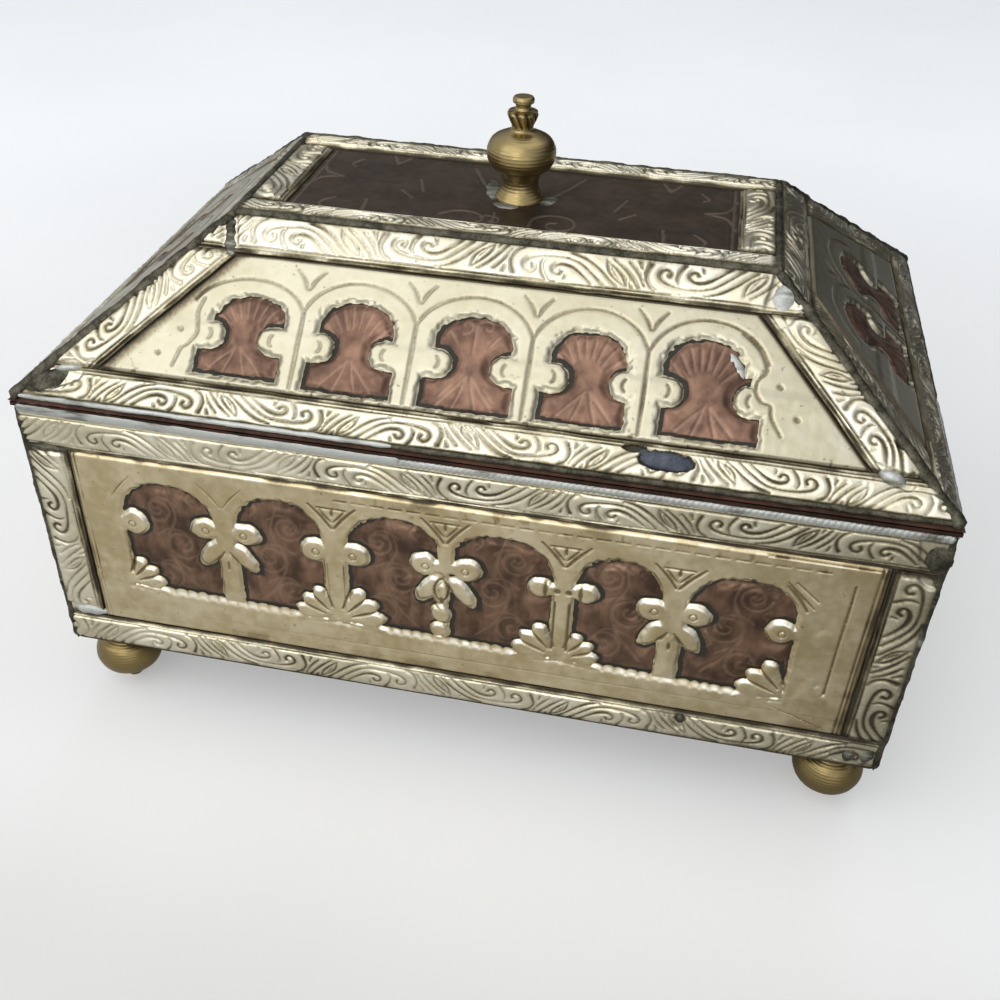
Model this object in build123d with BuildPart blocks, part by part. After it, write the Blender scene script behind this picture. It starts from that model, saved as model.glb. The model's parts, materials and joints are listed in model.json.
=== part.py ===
from build123d import *
import os
from math import acos, cos, degrees, hypot, pi, radians, sin

# A copper casket on four turned feet, with a hinged, hipped lid. Pierced sheets lie over its
# copper faces, and embossed bands cover all its edges. Millimetres, +Z up, front towards -Y,
# origin on the table under the middle of the box.

os.makedirs("parts", exist_ok=True)

# Overall sizes, over the crowns of the bands
length = 180.0
width = 112.0
foot_height = 17.0
body_height = 63.5
lid_rise = 30.3
top_length = 107.0
top_width = 46.0
seam_gap = 0.4
rim_edge = 1.8

# Sheets
wall_sheet = 0.8
overlay_sheet = 0.6
flange_width = 1.2
fit_gap = 0.1

# Embossed bands
band_crown = 1.4
band_edge = 0.9
body_band = 9.5
foot_band = 8.2
corner_band = 9.5
rim_band = 7.2
ridge_band = 9.0
hip_band = 8.0
band_overrun = 8.0
top_band_front = 6.8
top_band_end = 8.5

# Arches pierced in the overlays of the body. The front row stands a little left of the middle.
arch_pitch = 22.8
arch_width = 17.4
arch_sill_gap = 9.8
arch_crown_gap = 6.2
arch_margin = 5.0
front_arch_shift = -3.2
capital_drop = 10.0
capital_reach = 4.6
capital_lobe = 2.6
petal_drop = 17.0
petal_reach = 3.2
petal_lobe = 2.3
fan_radius = 6.3
fan_lobe = 1.7
fan_lobes = 7

# Keyhole arches pierced in the overlays of the lid. The front row stands a little left too.
keyhole_pitch = 22.6
keyhole_sill_gap = 1.6
keyhole_height = 18.1
keyhole_head = 6.3
keyhole_foot_width = 16.4
keyhole_foot_height = 4.4
keyhole_lobe = 3.3
keyhole_lobe_rise = 7.0
keyhole_waist = 7.6
keyhole_margin = 2.0
front_keyhole_shift = -1.3

# Turned feet, from the table up
foot_inset = 8.6
nipple_radius = 2.0
nipple_height = 3.7
foot_ball_radius = 7.6
foot_ball_half_height = 5.2
foot_neck_radius = 4.2

# Turned knob, from the top plate up
knob_foot_radius = 5.0
knob_foot_lip = 0.7
knob_waist_radius = 3.8
knob_pedestal_radius = 4.2
knob_pedestal_height = 6.5
knob_ball_radius = 7.1
knob_ball_half_height = 4.2
knob_neck_radius = 2.9
knob_neck_height = 1.6
knob_collar_radius = 3.1
knob_collar_height = 2.7
knob_stem_radius = 1.8
knob_stem_height = 1.6
knob_button_radius = 2.15
knob_button_height = 1.3

# Rear hinge: two knuckles on the body's leaf and one on the lid's leaf between them
hinge_length = 48.0
lid_knuckle = 23.4
knuckle_radius = 1.1
knuckle_gap = 0.3
hinge_clearance = 0.15
pin_radius = 0.55
pin_clearance = 0.05
leaf_sheet = 0.7
leaf_reach = 7.0

# Solder run into the inside corners
solder_leg = 2.2
solder_stop = 4.0

# Heights and reaches that follow from the sizes above
seam_height = foot_height + body_height
lid_bottom = seam_height + seam_gap
lid_top = lid_bottom + lid_rise
flange_foot = body_height - wall_sheet
arch_sill = foot_band + arch_sill_gap
arch_crown = flange_foot - body_band - arch_crown_gap
keyhole_sill = rim_band + keyhole_sill_gap
keyhole_top = keyhole_sill + keyhole_height
up = Vector(0, 0, 1)


class Side:
    """One of the four sides: its name, the directions along it and out of it, and half its sizes."""

    def __init__(self, name, turn, span, depth, top_span, top_depth, top_band):
        self.name = name
        self.half = span / 2
        self.depth = depth / 2
        self.top_half = top_span / 2
        self.top_depth = top_depth / 2
        self.top_band = top_band
        self.along = Vector(cos(radians(turn)), sin(radians(turn)), 0)
        self.out = Vector(sin(radians(turn)), -cos(radians(turn)), 0)

    def point(self, across, outwards, height):
        """World point at a distance along the side, outwards from the middle, and up."""
        return self.along * across + self.out * outwards + up * height


sides = [
    Side("front", 0, length, width, top_length, top_width, top_band_front),
    Side("right", 90, width, length, top_width, top_length, top_band_end),
    Side("back", 180, length, width, top_length, top_width, top_band_front),
    Side("left", 270, width, length, top_width, top_length, top_band_end),
]


class Face:
    """A flat copper face seen from outside: a plane with its border, anticlockwise from lower left."""

    def __init__(self, origin, along, normal, crown_corners):
        self.normal = normal.normalized()
        self.plane = Plane(origin=origin - self.normal * band_crown, x_dir=along, z_dir=self.normal)
        self.crown_corners = crown_corners
        flat = [self.plane.to_local_coords(corner) for corner in crown_corners]
        self.border = [(corner.X, corner.Y) for corner in flat]


def wall_face(side):
    """Face of a body wall, from the underside of the box up to the seam."""
    corners = [
        side.point(-side.half, side.depth, foot_height),
        side.point(side.half, side.depth, foot_height),
        side.point(side.half, side.depth, seam_height),
        side.point(-side.half, side.depth, seam_height),
    ]
    return Face(side.point(0, side.depth, foot_height), side.along, side.out, corners)


def slope_face(side):
    """Face of a lid slope, from the rim up to the flat top."""
    rim_height = lid_bottom + rim_edge
    rim_middle = side.point(0, side.depth, rim_height)
    top_middle = side.point(0, side.top_depth, lid_top)
    normal = side.along.cross(top_middle - rim_middle)
    corners = [
        side.point(-side.half, side.depth, rim_height),
        side.point(side.half, side.depth, rim_height),
        side.point(side.top_half, side.top_depth, lid_top),
        side.point(-side.top_half, side.top_depth, lid_top),
    ]
    return Face(rim_middle, side.along, normal, corners)


walls = [wall_face(side) for side in sides]
slopes = [slope_face(side) for side in sides]
top_corners = [slope.crown_corners[3] for slope in slopes]
top = Face(Vector(0, 0, lid_top), Vector(1, 0, 0), up, top_corners)


def mitre(face, neighbour, corner):
    """Plane that halves the angle between two faces at a shared corner, facing the neighbour."""
    return Plane(origin=corner, z_dir=neighbour.normal - face.normal)


def end_mitres(ring, index):
    """The two mitre planes that part a face from its left and right neighbours in a ring of four."""
    face = ring[index]
    right = mitre(face, ring[(index + 1) % 4], face.crown_corners[1])
    left = mitre(face, ring[(index + 3) % 4], face.crown_corners[0])
    return [left, right]


def outside(side):
    """Upright plane over the crowns of a side, facing out."""
    return Plane(origin=side.point(0, side.depth, 0), z_dir=side.out)


def inset(border, margins):
    """Border moved inwards, each edge by its own margin. The corner between two moved edges is where
    both hold: cross(edge direction, point - start) = margin."""
    moved = []
    for index in range(len(border)):
        lines = []
        for edge in (index - 1, index):
            (x0, y0), (x1, y1) = border[edge], border[(edge + 1) % len(border)]
            run = hypot(x1 - x0, y1 - y0)
            dx, dy = (x1 - x0) / run, (y1 - y0) / run
            lines.append((-dy, dx, margins[edge] - dy * x0 + dx * y0))
        (a, b, c), (d, e, f) = lines
        moved.append(((c * e - b * f) / (a * e - b * d), (a * f - c * d) / (a * e - b * d)))
    return moved


def save(piece, name):
    """Label a finished piece and write it under its own name."""
    piece.part.label = name
    export_step(piece.part, "parts/" + name + ".step")


def sheet(plane, border, start, thickness, cuts):
    """Flat sheet on a plane, from the height start outwards by the thickness, then cut by planes."""
    with BuildPart() as plate:
        with BuildSketch(plane.offset(start)):
            with BuildLine():
                Polyline(*border, close=True)
            make_face()
        extrude(amount=thickness)
        for cut in cuts:
            split(bisect_by=cut, keep=Keep.BOTTOM)
    return plate


def strip(face, edge, start, band, cuts):
    """Embossed band on a face along one edge of its border, with a crown between two lower edges. It
    starts at a distance from the edge. Its outer side runs on past that, for the cuts to trim."""
    (x0, y0), (x1, y1) = face.border[edge], face.border[(edge + 1) % 4]
    run = hypot(x1 - x0, y1 - y0)
    heading = (face.plane.x_dir * (x1 - x0) + face.plane.y_dir * (y1 - y0)) / run
    middle = face.plane.from_local_coords(Vector((x0 + x1) / 2, (y0 + y1) / 2, 0))
    across = face.normal.cross(heading)
    outer = start - band_overrun
    inner = start + band
    with BuildPart() as piece:
        with BuildSketch(Plane(origin=middle, x_dir=across, z_dir=heading)):
            with BuildLine():
                Polyline((start, band_edge), (outer, band_edge), (outer, 0), (inner, 0), (inner, band_edge))
                ThreePointArc((inner, band_edge), (start + band / 2, band_crown), (start, band_edge))
            make_face()
        extrude(amount=run / 2 + band_overrun, both=True)
        for cut in cuts:
            split(bisect_by=cut, keep=Keep.BOTTOM)
    return piece


def above(face, distance):
    """Plane across a face that cuts off what lies further up the face than the distance."""
    origin = face.plane.from_local_coords(Vector(0, distance, 0))
    return Plane(origin=origin, z_dir=face.plane.y_dir)


def below(face, distance):
    """Plane across a face that cuts off what lies lower down the face than the distance."""
    return -above(face, distance)


def bent_strip(ring, index, band, low, high):
    """Band bent over the edge between a face and its right neighbour. It starts at the distance low up
    both faces, and high gives the distance up a face where it ends."""
    face = ring[index]
    neighbour = ring[(index + 1) % 4]
    fold = mitre(face, neighbour, face.crown_corners[1])
    near = strip(face, 1, 0, band, [fold, below(face, low), above(face, high(face))])
    far = strip(neighbour, 3, 0, band, [-fold, below(neighbour, low), above(neighbour, high(neighbour))])
    with BuildPart() as bent:
        add(near.part)
        add(far.part)
    return bent


def fan(across, height):
    """Fan-shaped leaf at the foot of a mullion, with round lobes along its edge."""
    with Locations((across, height)):
        Circle(fan_radius)
    for lobe in range(fan_lobes):
        angle = pi * (lobe + 0.5) / fan_lobes
        with Locations((across + fan_radius * cos(angle), height + fan_radius * sin(angle))):
            Circle(fan_lobe)


def lobes(across, reach, height, radius):
    """A pair of round lobes, one on either side of a mullion."""
    with Locations((across - reach, height), (across + reach, height)):
        Circle(radius)


def arch_hole(across):
    """Round-headed opening above the sill."""
    head = arch_crown - arch_width / 2
    with Locations((across, head)):
        Circle(arch_width / 2, mode=Mode.SUBTRACT)
    with Locations((across, (arch_sill + head) / 2)):
        Rectangle(arch_width, head - arch_sill, mode=Mode.SUBTRACT)


def arcade(face, border, shift):
    """Pierced overlay of a body wall: round arches parted by mullions. The row starts and ends on
    half a fan mullion, and petal mullions stand between fan mullions."""
    bare = border[1][0] - border[0][0] - 2 * arch_margin
    count = int(bare / arch_pitch)
    first = shift - count * arch_pitch / 2
    with BuildPart() as overlay:
        with BuildSketch(face.plane):
            with BuildLine():
                Polyline(*border, close=True)
            make_face()
            for arch in range(count):
                arch_hole(first + (arch + 0.5) * arch_pitch)
            for mullion in range(count + 1):
                across = first + mullion * arch_pitch
                lobes(across, capital_reach, arch_crown - capital_drop, capital_lobe)
                if min(mullion, count - mullion) % 2 == 0:
                    fan(across, arch_sill)
                else:
                    lobes(across, petal_reach, arch_crown - petal_drop, petal_lobe)
        extrude(amount=overlay_sheet)
    return overlay


def keyhole():
    """Keyhole arch: a round head, two lobes that nip it to a waist, and a wide square foot."""
    head = keyhole_top - keyhole_head
    reach = keyhole_waist / 2 + keyhole_lobe
    foot_top = keyhole_sill + keyhole_foot_height
    lobe_height = keyhole_sill + keyhole_lobe_rise
    with BuildSketch() as hole:
        with Locations((0, head)):
            Circle(keyhole_head)
        with Locations((0, (head + foot_top) / 2)):
            Rectangle(2 * keyhole_head, head - foot_top)
        with Locations((0, keyhole_sill + keyhole_foot_height / 2)):
            Rectangle(keyhole_foot_width, keyhole_foot_height)
        with Locations((-reach, lobe_height), (reach, lobe_height)):
            Circle(keyhole_lobe, mode=Mode.SUBTRACT)
    return hole.sketch


def keyhole_row(face, border, shift):
    """Pierced overlay of a lid slope: as many keyhole arches as fit at the height of their heads."""
    (foot, low), (head, high) = border[1], border[2]
    half = foot + (head - foot) * (keyhole_top - low) / (high - low)
    count = int(2 * (half - keyhole_head - keyhole_margin) / keyhole_pitch) + 1
    first = shift - (count - 1) * keyhole_pitch / 2
    hole = keyhole()
    with BuildPart() as overlay:
        with BuildSketch(face.plane):
            with BuildLine():
                Polyline(*border, close=True)
            make_face()
            for arch in range(count):
                with Locations((first + arch * keyhole_pitch, 0)):
                    add(hole, mode=Mode.SUBTRACT)
        extrude(amount=overlay_sheet)
    return overlay


# Copper floor, between the walls
inner_half_length = length / 2 - band_crown - wall_sheet
inner_half_width = width / 2 - band_crown - wall_sheet

with BuildPart() as base_floor_plate:
    with BuildSketch(Plane.XY.offset(foot_height)):
        Rectangle(2 * inner_half_length, 2 * inner_half_width)
    extrude(amount=wall_sheet)
save(base_floor_plate, "base_floor_plate")

# Body walls, with the top edge of each turned outwards as a flange, and the bands on them


def corner_top(face):
    """Distance up a wall at which the corner band meets the top band, which lies under the flange."""
    return face.border[2][1] - wall_sheet - body_band


for index, side in enumerate(sides):
    face = walls[index]
    mitres = end_mitres(walls, index)
    flange_border = [(x, max(y, flange_foot)) for x, y in face.border]
    upright = sheet(face.plane, face.border, -wall_sheet, wall_sheet, mitres)
    flange = sheet(face.plane, flange_border, 0, flange_width, mitres)
    with BuildPart() as wall:
        add(upright.part)
        add(flange.part)
    save(wall, "base_" + side.name + "_wall")

    bottom_strip = strip(face, 0, 0, foot_band, mitres + [below(face, 0)])
    save(bottom_strip, "base_" + side.name + "_bottom_band")
    top_strip = strip(face, 2, wall_sheet, body_band, mitres + [above(face, flange_foot)])
    save(top_strip, "base_" + side.name + "_top_band")
    upright_strip = bent_strip(walls, index, corner_band, foot_band, corner_top)
    neighbour = sides[(index + 1) % 4]
    save(upright_strip, "base_" + side.name + "_" + neighbour.name + "_corner_band")

    margins = [foot_band, corner_band, wall_sheet + body_band, corner_band]
    overlay_border = inset(face.border, [margin + fit_gap for margin in margins])
    overlay = arcade(face, overlay_border, front_arch_shift * (index == 0))
    save(overlay, "base_" + side.name + "_overlay")

# Lid slopes and the bands on them
lid_foot = Plane(origin=(0, 0, lid_bottom), z_dir=(0, 0, -1))
ridges = [mitre(slope, top, slope.crown_corners[2]) for slope in slopes]


def hip_top(face):
    """Distance up a slope at which the hip band meets the ridge band."""
    return face.border[2][1] - ridge_band


for index, side in enumerate(sides):
    face = slopes[index]
    hips = end_mitres(slopes, index)
    beside = [sides[(index + 1) % 4], sides[(index + 3) % 4]]
    rim_cuts = hips + [lid_foot, outside(side)] + [outside(other) for other in beside]
    (left, low), (right, _), (_, high), _ = face.border
    reach = [(left, low - band_overrun), (right, low - band_overrun), (right, high), (left, high)]
    slope_sheet = sheet(face.plane, reach, -wall_sheet, wall_sheet, rim_cuts + [ridges[index]])
    save(slope_sheet, "lid_" + side.name + "_slope")

    rim_strip = strip(face, 0, 0, rim_band, rim_cuts)
    save(rim_strip, "lid_" + side.name + "_rim_band")
    ridge_strip = strip(face, 2, 0, ridge_band, hips + [ridges[index]])
    save(ridge_strip, "lid_" + side.name + "_ridge_band")
    hip_strip = bent_strip(slopes, index, hip_band, rim_band, hip_top)
    neighbour = sides[(index + 1) % 4]
    save(hip_strip, "lid_" + side.name + "_" + neighbour.name + "_hip_band")

    margins = [rim_band, hip_band, ridge_band, hip_band]
    overlay_border = inset(face.border, [margin + fit_gap for margin in margins])
    overlay = keyhole_row(face, overlay_border, front_keyhole_shift * (index == 0))
    save(overlay, "lid_" + side.name + "_overlay")

# Flat copper top and the bands round it. The front and back bands run its full length.
top_plate = sheet(top.plane, top.border, -wall_sheet, wall_sheet, [-ridge for ridge in ridges])
save(top_plate, "lid_top_plate")

for index, side in enumerate(sides):
    cuts = [-ridges[index]]
    for step in (1, 3):
        beside = sides[(index + step) % 4]
        if index % 2 == 0:
            cuts.append(-ridges[(index + step) % 4])
        else:
            butt = beside.point(0, beside.top_depth - beside.top_band, 0)
            cuts.append(Plane(origin=butt, z_dir=beside.out))
    save(strip(top, index, 0, side.top_band, cuts), "lid_top_" + side.name + "_band")

# Turned brass feet, soldered under the floor
foot_middle = nipple_height + foot_ball_half_height * sin(acos(nipple_radius / foot_ball_radius))
foot_start = degrees(acos(nipple_radius / foot_ball_radius))
foot_end = degrees(acos(foot_neck_radius / foot_ball_radius))

with BuildPart() as turned_foot:
    with BuildSketch(Plane.XZ):
        with BuildLine():
            ball = EllipticalCenterArc(
                (0, foot_middle),
                foot_ball_radius,
                foot_ball_half_height,
                start_angle=-foot_start,
                arc_size=foot_start + foot_end,
            )
            Polyline(
                ball @ 0,
                (nipple_radius, 0),
                (0, 0),
                (0, foot_height),
                (foot_neck_radius, foot_height),
                ball @ 1,
            )
        make_face()
    revolve(axis=Axis.Z)

foot_x = length / 2 - foot_inset
foot_y = width / 2 - foot_inset
for name, x, y in (
    ("front_left", -foot_x, -foot_y),
    ("front_right", foot_x, -foot_y),
    ("back_right", foot_x, foot_y),
    ("back_left", -foot_x, foot_y),
):
    with BuildPart() as foot:
        with Locations((x, y, 0)):
            add(turned_foot.part)
    save(foot, name + "_foot")

# Turned brass knob, soldered on the top plate
plate_top = lid_top - band_crown
knob_joint = acos(knob_pedestal_radius / knob_ball_radius)
knob_shoulder = acos(knob_neck_radius / knob_ball_radius)
ball_foot = plate_top + knob_pedestal_height
ball_middle = ball_foot + knob_ball_half_height * sin(knob_joint)
ball_head = ball_middle + knob_ball_half_height * sin(knob_shoulder)
collar_foot = ball_head + knob_neck_height
collar_head = collar_foot + knob_collar_height
stem_head = collar_head + knob_stem_height
knob_top = stem_head + knob_button_height

with BuildPart() as knob:
    with BuildSketch(Plane.XZ):
        with BuildLine():
            lip = plate_top + knob_foot_lip
            waist = (knob_waist_radius, (lip + ball_foot) / 2)
            ThreePointArc((knob_foot_radius, lip), waist, (knob_pedestal_radius, ball_foot))
            EllipticalCenterArc(
                (0, ball_middle),
                knob_ball_radius,
                knob_ball_half_height,
                start_angle=-degrees(knob_joint),
                arc_size=degrees(knob_joint + knob_shoulder),
            )
            Polyline(
                (knob_neck_radius, ball_head),
                (knob_stem_radius, collar_foot),
                (knob_collar_radius, collar_foot),
                (knob_collar_radius, collar_head),
                (knob_stem_radius, collar_head),
                (knob_stem_radius, stem_head),
                (knob_button_radius, stem_head),
                (knob_button_radius, knob_top),
                (0, knob_top),
                (0, plate_top),
                (knob_foot_radius, plate_top),
                (knob_foot_radius, lip),
            )
        make_face()
    revolve(axis=Axis.Z)
save(knob, "knob")

# Rear hinge along the seam. Profiles are drawn in the YZ plane, as (y, z).
hinge_y = width / 2 + hinge_clearance + knuckle_radius
hinge_z = seam_height + seam_gap / 2
leaf_back = width / 2 + leaf_sheet
knuckle_half = lid_knuckle / 2
leaf_half = hinge_length / 2
notch_foot = hinge_z - knuckle_radius - knuckle_gap
notch_depth = 2 * (knuckle_radius + hinge_clearance + leaf_sheet)


def bore(half):
    """Hole for the hinge pin through all the knuckles."""
    with BuildSketch(Plane.YZ.offset(-half)) as hole:
        with Locations((hinge_y, hinge_z)):
            Circle(pin_radius + pin_clearance)
    extrude(hole.sketch, amount=2 * half, mode=Mode.SUBTRACT)


with BuildPart() as hinge_base_leaf:
    with BuildSketch(Plane.YZ.offset(-leaf_half)):
        with Locations((width / 2 + leaf_sheet / 2, (seam_height - leaf_reach + hinge_z) / 2)):
            Rectangle(leaf_sheet, hinge_z - seam_height + leaf_reach)
        with Locations((hinge_y, hinge_z)):
            Circle(knuckle_radius)
    extrude(amount=hinge_length)
    with BuildSketch(Plane.YZ.offset(-knuckle_half - knuckle_gap)):
        with Locations((hinge_y, notch_foot + body_band / 2)):
            Rectangle(notch_depth, body_band)
    extrude(amount=lid_knuckle + 2 * knuckle_gap, mode=Mode.SUBTRACT)
    bore(leaf_half)
save(hinge_base_leaf, "hinge_base_leaf")

back_slope = slopes[2]
rim_corner = back_slope.crown_corners[0]
rise_y, rise_z = back_slope.plane.y_dir.Y, back_slope.plane.y_dir.Z
lift_y, lift_z = back_slope.normal.Y * leaf_sheet, back_slope.normal.Z * leaf_sheet
bend = (leaf_back - rim_corner.Y - lift_y) / rise_y
leaf_end_y = rim_corner.Y + rise_y * leaf_reach
leaf_end_z = rim_corner.Z + rise_z * leaf_reach

with BuildPart() as hinge_lid_leaf:
    with BuildSketch(Plane.YZ.offset(-knuckle_half)):
        with BuildLine():
            Polyline(
                (width / 2, hinge_z),
                (leaf_back, hinge_z),
                (leaf_back, rim_corner.Z + lift_z + rise_z * bend),
                (leaf_end_y + lift_y, leaf_end_z + lift_z),
                (leaf_end_y, leaf_end_z),
                (rim_corner.Y, rim_corner.Z),
                close=True,
            )
        make_face()
        with Locations((hinge_y, hinge_z)):
            Circle(knuckle_radius)
    extrude(amount=lid_knuckle)
    bore(knuckle_half)
save(hinge_lid_leaf, "hinge_lid_leaf")

with BuildPart() as hinge_pin:
    with BuildSketch(Plane.YZ.offset(-leaf_half)):
        with Locations((hinge_y, hinge_z)):
            Circle(pin_radius)
    extrude(amount=hinge_length)
save(hinge_pin, "hinge_pin")

# Solder run into the inside corners of the body: four upright seams and one along each wall's foot
floor_top = foot_height + wall_sheet

with BuildPart() as base_solder_seams:
    for across, back in ((-1, -1), (1, -1), (1, 1), (-1, 1)):
        x = across * inner_half_length
        y = back * inner_half_width
        with BuildSketch(Plane.XY.offset(floor_top)):
            with BuildLine():
                Polyline((x, y), (x - across * solder_leg, y), (x, y - back * solder_leg), close=True)
            make_face()
        extrude(amount=seam_height - solder_stop - floor_top)
    for side in sides:
        half = side.half - band_crown - wall_sheet - solder_leg
        inner = side.depth - band_crown - wall_sheet
        section = Plane(origin=side.point(-half, inner, floor_top), x_dir=-side.out, z_dir=side.along)
        with BuildSketch(section):
            with BuildLine():
                Polyline((0, 0), (solder_leg, 0), (0, solder_leg), close=True)
            make_face()
        extrude(amount=2 * half)
save(base_solder_seams, "base_solder_seams")

# Solder run into the inside of each hip of the lid, between the rim and the top plate
plate_underside = Plane(origin=(0, 0, lid_top - band_crown - wall_sheet), z_dir=up)

with BuildPart() as lid_solder_seams:
    for index in range(4):
        near = slopes[index]
        far = slopes[(index + 1) % 4]
        foot_corner = near.crown_corners[1]
        hip = near.crown_corners[2] - foot_corner
        depth = band_crown + wall_sheet
        inward = (near.normal + far.normal) * (-depth / (1 + near.normal.dot(far.normal)))
        corner = foot_corner + inward
        across_near = near.normal.cross(hip.normalized()) * solder_leg
        across_far = hip.normalized().cross(far.normal) * solder_leg
        section = Plane(origin=corner - hip.normalized() * band_overrun, x_dir=across_near, z_dir=hip)
        tip = section.to_local_coords(corner + across_far)
        with BuildSketch(section):
            with BuildLine():
                Polyline((0, 0), (solder_leg, 0), (tip.X, tip.Y), close=True)
            make_face()
        extrude(amount=hip.length + band_overrun)
    split(bisect_by=plate_underside, keep=Keep.BOTTOM)
    split(bisect_by=Plane(origin=(0, 0, lid_bottom + solder_stop), z_dir=-up), keep=Keep.BOTTOM)
save(lid_solder_seams, "lid_solder_seams")
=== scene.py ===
# %% [markdown]
# A small copper chest: pierced sheets of nickel silver lie over its copper faces, strips pressed
# with a running scroll cover every edge, grey solder holds them, and the feet and knob are turned
# brass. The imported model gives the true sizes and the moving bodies. This file gives the surfaces.

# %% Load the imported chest
import json
from collections import namedtuple

import bpy
import numpy as np
from mathutils import Matrix, Vector
from mathutils.geometry import delaunay_2d_cdt

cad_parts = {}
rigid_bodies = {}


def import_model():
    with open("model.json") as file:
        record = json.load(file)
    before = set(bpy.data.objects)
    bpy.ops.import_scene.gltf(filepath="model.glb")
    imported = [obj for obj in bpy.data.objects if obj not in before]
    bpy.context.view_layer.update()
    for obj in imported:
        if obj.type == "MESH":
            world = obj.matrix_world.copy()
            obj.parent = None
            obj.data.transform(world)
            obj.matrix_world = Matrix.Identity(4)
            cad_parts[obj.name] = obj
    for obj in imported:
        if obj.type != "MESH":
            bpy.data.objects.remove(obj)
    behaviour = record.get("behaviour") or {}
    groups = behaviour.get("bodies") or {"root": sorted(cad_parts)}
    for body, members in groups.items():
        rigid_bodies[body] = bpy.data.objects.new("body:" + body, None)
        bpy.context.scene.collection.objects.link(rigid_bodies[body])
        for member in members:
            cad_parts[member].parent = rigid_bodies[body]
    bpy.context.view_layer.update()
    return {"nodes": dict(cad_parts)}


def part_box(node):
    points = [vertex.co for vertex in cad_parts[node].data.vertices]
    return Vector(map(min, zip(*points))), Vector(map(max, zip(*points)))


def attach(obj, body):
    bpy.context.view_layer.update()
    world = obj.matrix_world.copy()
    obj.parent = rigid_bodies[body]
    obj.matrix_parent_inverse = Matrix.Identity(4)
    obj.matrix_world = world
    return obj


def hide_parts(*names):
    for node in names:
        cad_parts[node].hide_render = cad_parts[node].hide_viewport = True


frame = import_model()

# %% [markdown]
# All shapes are worked out in millimetres and scaled once, when a mesh is made. The main sizes
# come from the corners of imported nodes, so the new surfaces lie exactly where the solids do. The
# widths of the strips are written out, because no corner of a bent or mitred band gives them.

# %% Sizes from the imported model
MM = 0.001


def corners(node):
    """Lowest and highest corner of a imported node, in millimetres."""
    low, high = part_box(node)
    return np.array(low) / MM, np.array(high) / MM


foot_low, foot_high = corners("base_front_bottom_band")
half_length, half_width, foot_band = foot_high[0], -foot_low[1], foot_high[2] - foot_low[2]
box_foot = corners("base_front_wall")[0][2]
seam = corners("base_front_wall")[1][2]
rim_foot = corners("lid_front_slope")[0][2]
lid_top = corners("lid_top_front_band")[1][2]
plate_top = corners("lid_top_plate")[1][2]
crown = lid_top - plate_top
rim_edge = 1.8
top_half_length = 53.5
top_half_width = 23.0
body_band = 9.5
rim_band = 7.2
ridge_band = 9.0
hip_band = 8.0
flange = 0.8
print("half length, half width, foot, seam:", half_length, half_width, box_foot, seam)

# %% [markdown]
# Every sheet and strip lies on a flat copper face. A Face turns flat drawing coordinates into
# space: u runs along the face, v up it and h out of it. A point is foot + u·along + v·up + h·out.


# %% The nine flat faces
class Face:
    """A flat copper face, with its drawing axes in space, its half length at foot and head, and its
    lean: how much of that half length is lost for each step up the face."""

    def __init__(self, name, foot, along, up, half_foot, half_head, height):
        self.name = name
        self.along = np.array(along, float)
        self.up = np.array(up, float) / np.linalg.norm(up)
        self.out = np.cross(self.along, self.up)
        self.foot = np.array(foot, float) - crown * self.out
        self.half_foot = half_foot
        self.half_head = half_head
        self.height = height
        self.lean = (half_foot - half_head) / height if height else 0.0

    def place(self, u, v, h):
        """Points in space, u along the face, v up it and h out of it."""
        u, v, h = np.broadcast_arrays(u, v, h)
        flat = u[..., None] * self.along + v[..., None] * self.up
        return self.foot + flat + h[..., None] * self.out


side_turns = {"front": 0, "right": 90, "back": 180, "left": 270}
walls = {}
slopes = {}
for name, turn in side_turns.items():
    angle = np.radians(turn)
    along = np.array([np.cos(angle), np.sin(angle), 0])
    out = np.array([np.sin(angle), -np.cos(angle), 0])
    lengthways = name in ("front", "back")
    half, depth = (half_length, half_width) if lengthways else (half_width, half_length)
    top_half, top_depth = top_half_length, top_half_width
    if not lengthways:
        top_half, top_depth = top_depth, top_half
    lift = np.array([0, 0, 1.0])
    walls[name] = Face(name, out * depth + lift * box_foot, along, lift, half, half, seam - box_foot)
    rim = rim_foot + rim_edge
    slant = out * (top_depth - depth) + lift * (lid_top - rim)
    slope_height = np.linalg.norm(slant)
    slopes[name] = Face(name, out * depth + lift * rim, along, slant, half, top_half, slope_height)
top_face = Face("top", [0, 0, lid_top], [1, 0, 0], [0, 1, 0], top_half_length, top_half_length, 0)
print("slope heights:", {name: round(face.height, 2) for name, face in slopes.items()})

# %% [markdown]
# Hand work is never quite even. Value noise gives every bead, edge and ridge a small steady
# unevenness: random numbers on a cubic lattice, blended across each cell with 3t² - 2t³.

# %% Noise
lattice_size = 32
lattice = np.random.default_rng(11).random((lattice_size,) * 3) * 2 - 1


def noise(x, y, z, size):
    """Smooth value noise from -1 to 1, with cells of the given size in millimetres. A plain number
    in place of a coordinate picks one layer of it, so each use can have its own."""
    points = np.stack(np.broadcast_arrays(x, y, z), axis=-1) / size
    base = np.floor(points).astype(int)
    t = points - base
    t = t * t * (3 - 2 * t)
    total = 0
    for corner in np.ndindex(2, 2, 2):
        weight = np.prod(np.where(corner, t, 1 - t), axis=-1)
        i, j, k = np.moveaxis((base + corner) % lattice_size, -1, 0)
        total = total + weight * lattice[i, j, k]
    return total


print("noise lattice:", lattice.shape, "from", round(lattice.min(), 2), "to", round(lattice.max(), 2))


def ramp(x, low, high):
    """Goes from 0 at low to 1 at high, easing in and out: 3t² - 2t³."""
    t = np.clip((x - low) / (high - low), 0, 1)
    return t * t * (3 - 2 * t)


# %% [markdown]
# Everything drawn on the metal is a list of strokes. A stroke is a few points (along, across, half
# width) with a smooth curve through them. What a groove does to the metal depends only on how far
# a place is from the nearest one, so that distance is worked out for a whole grid at once.


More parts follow.
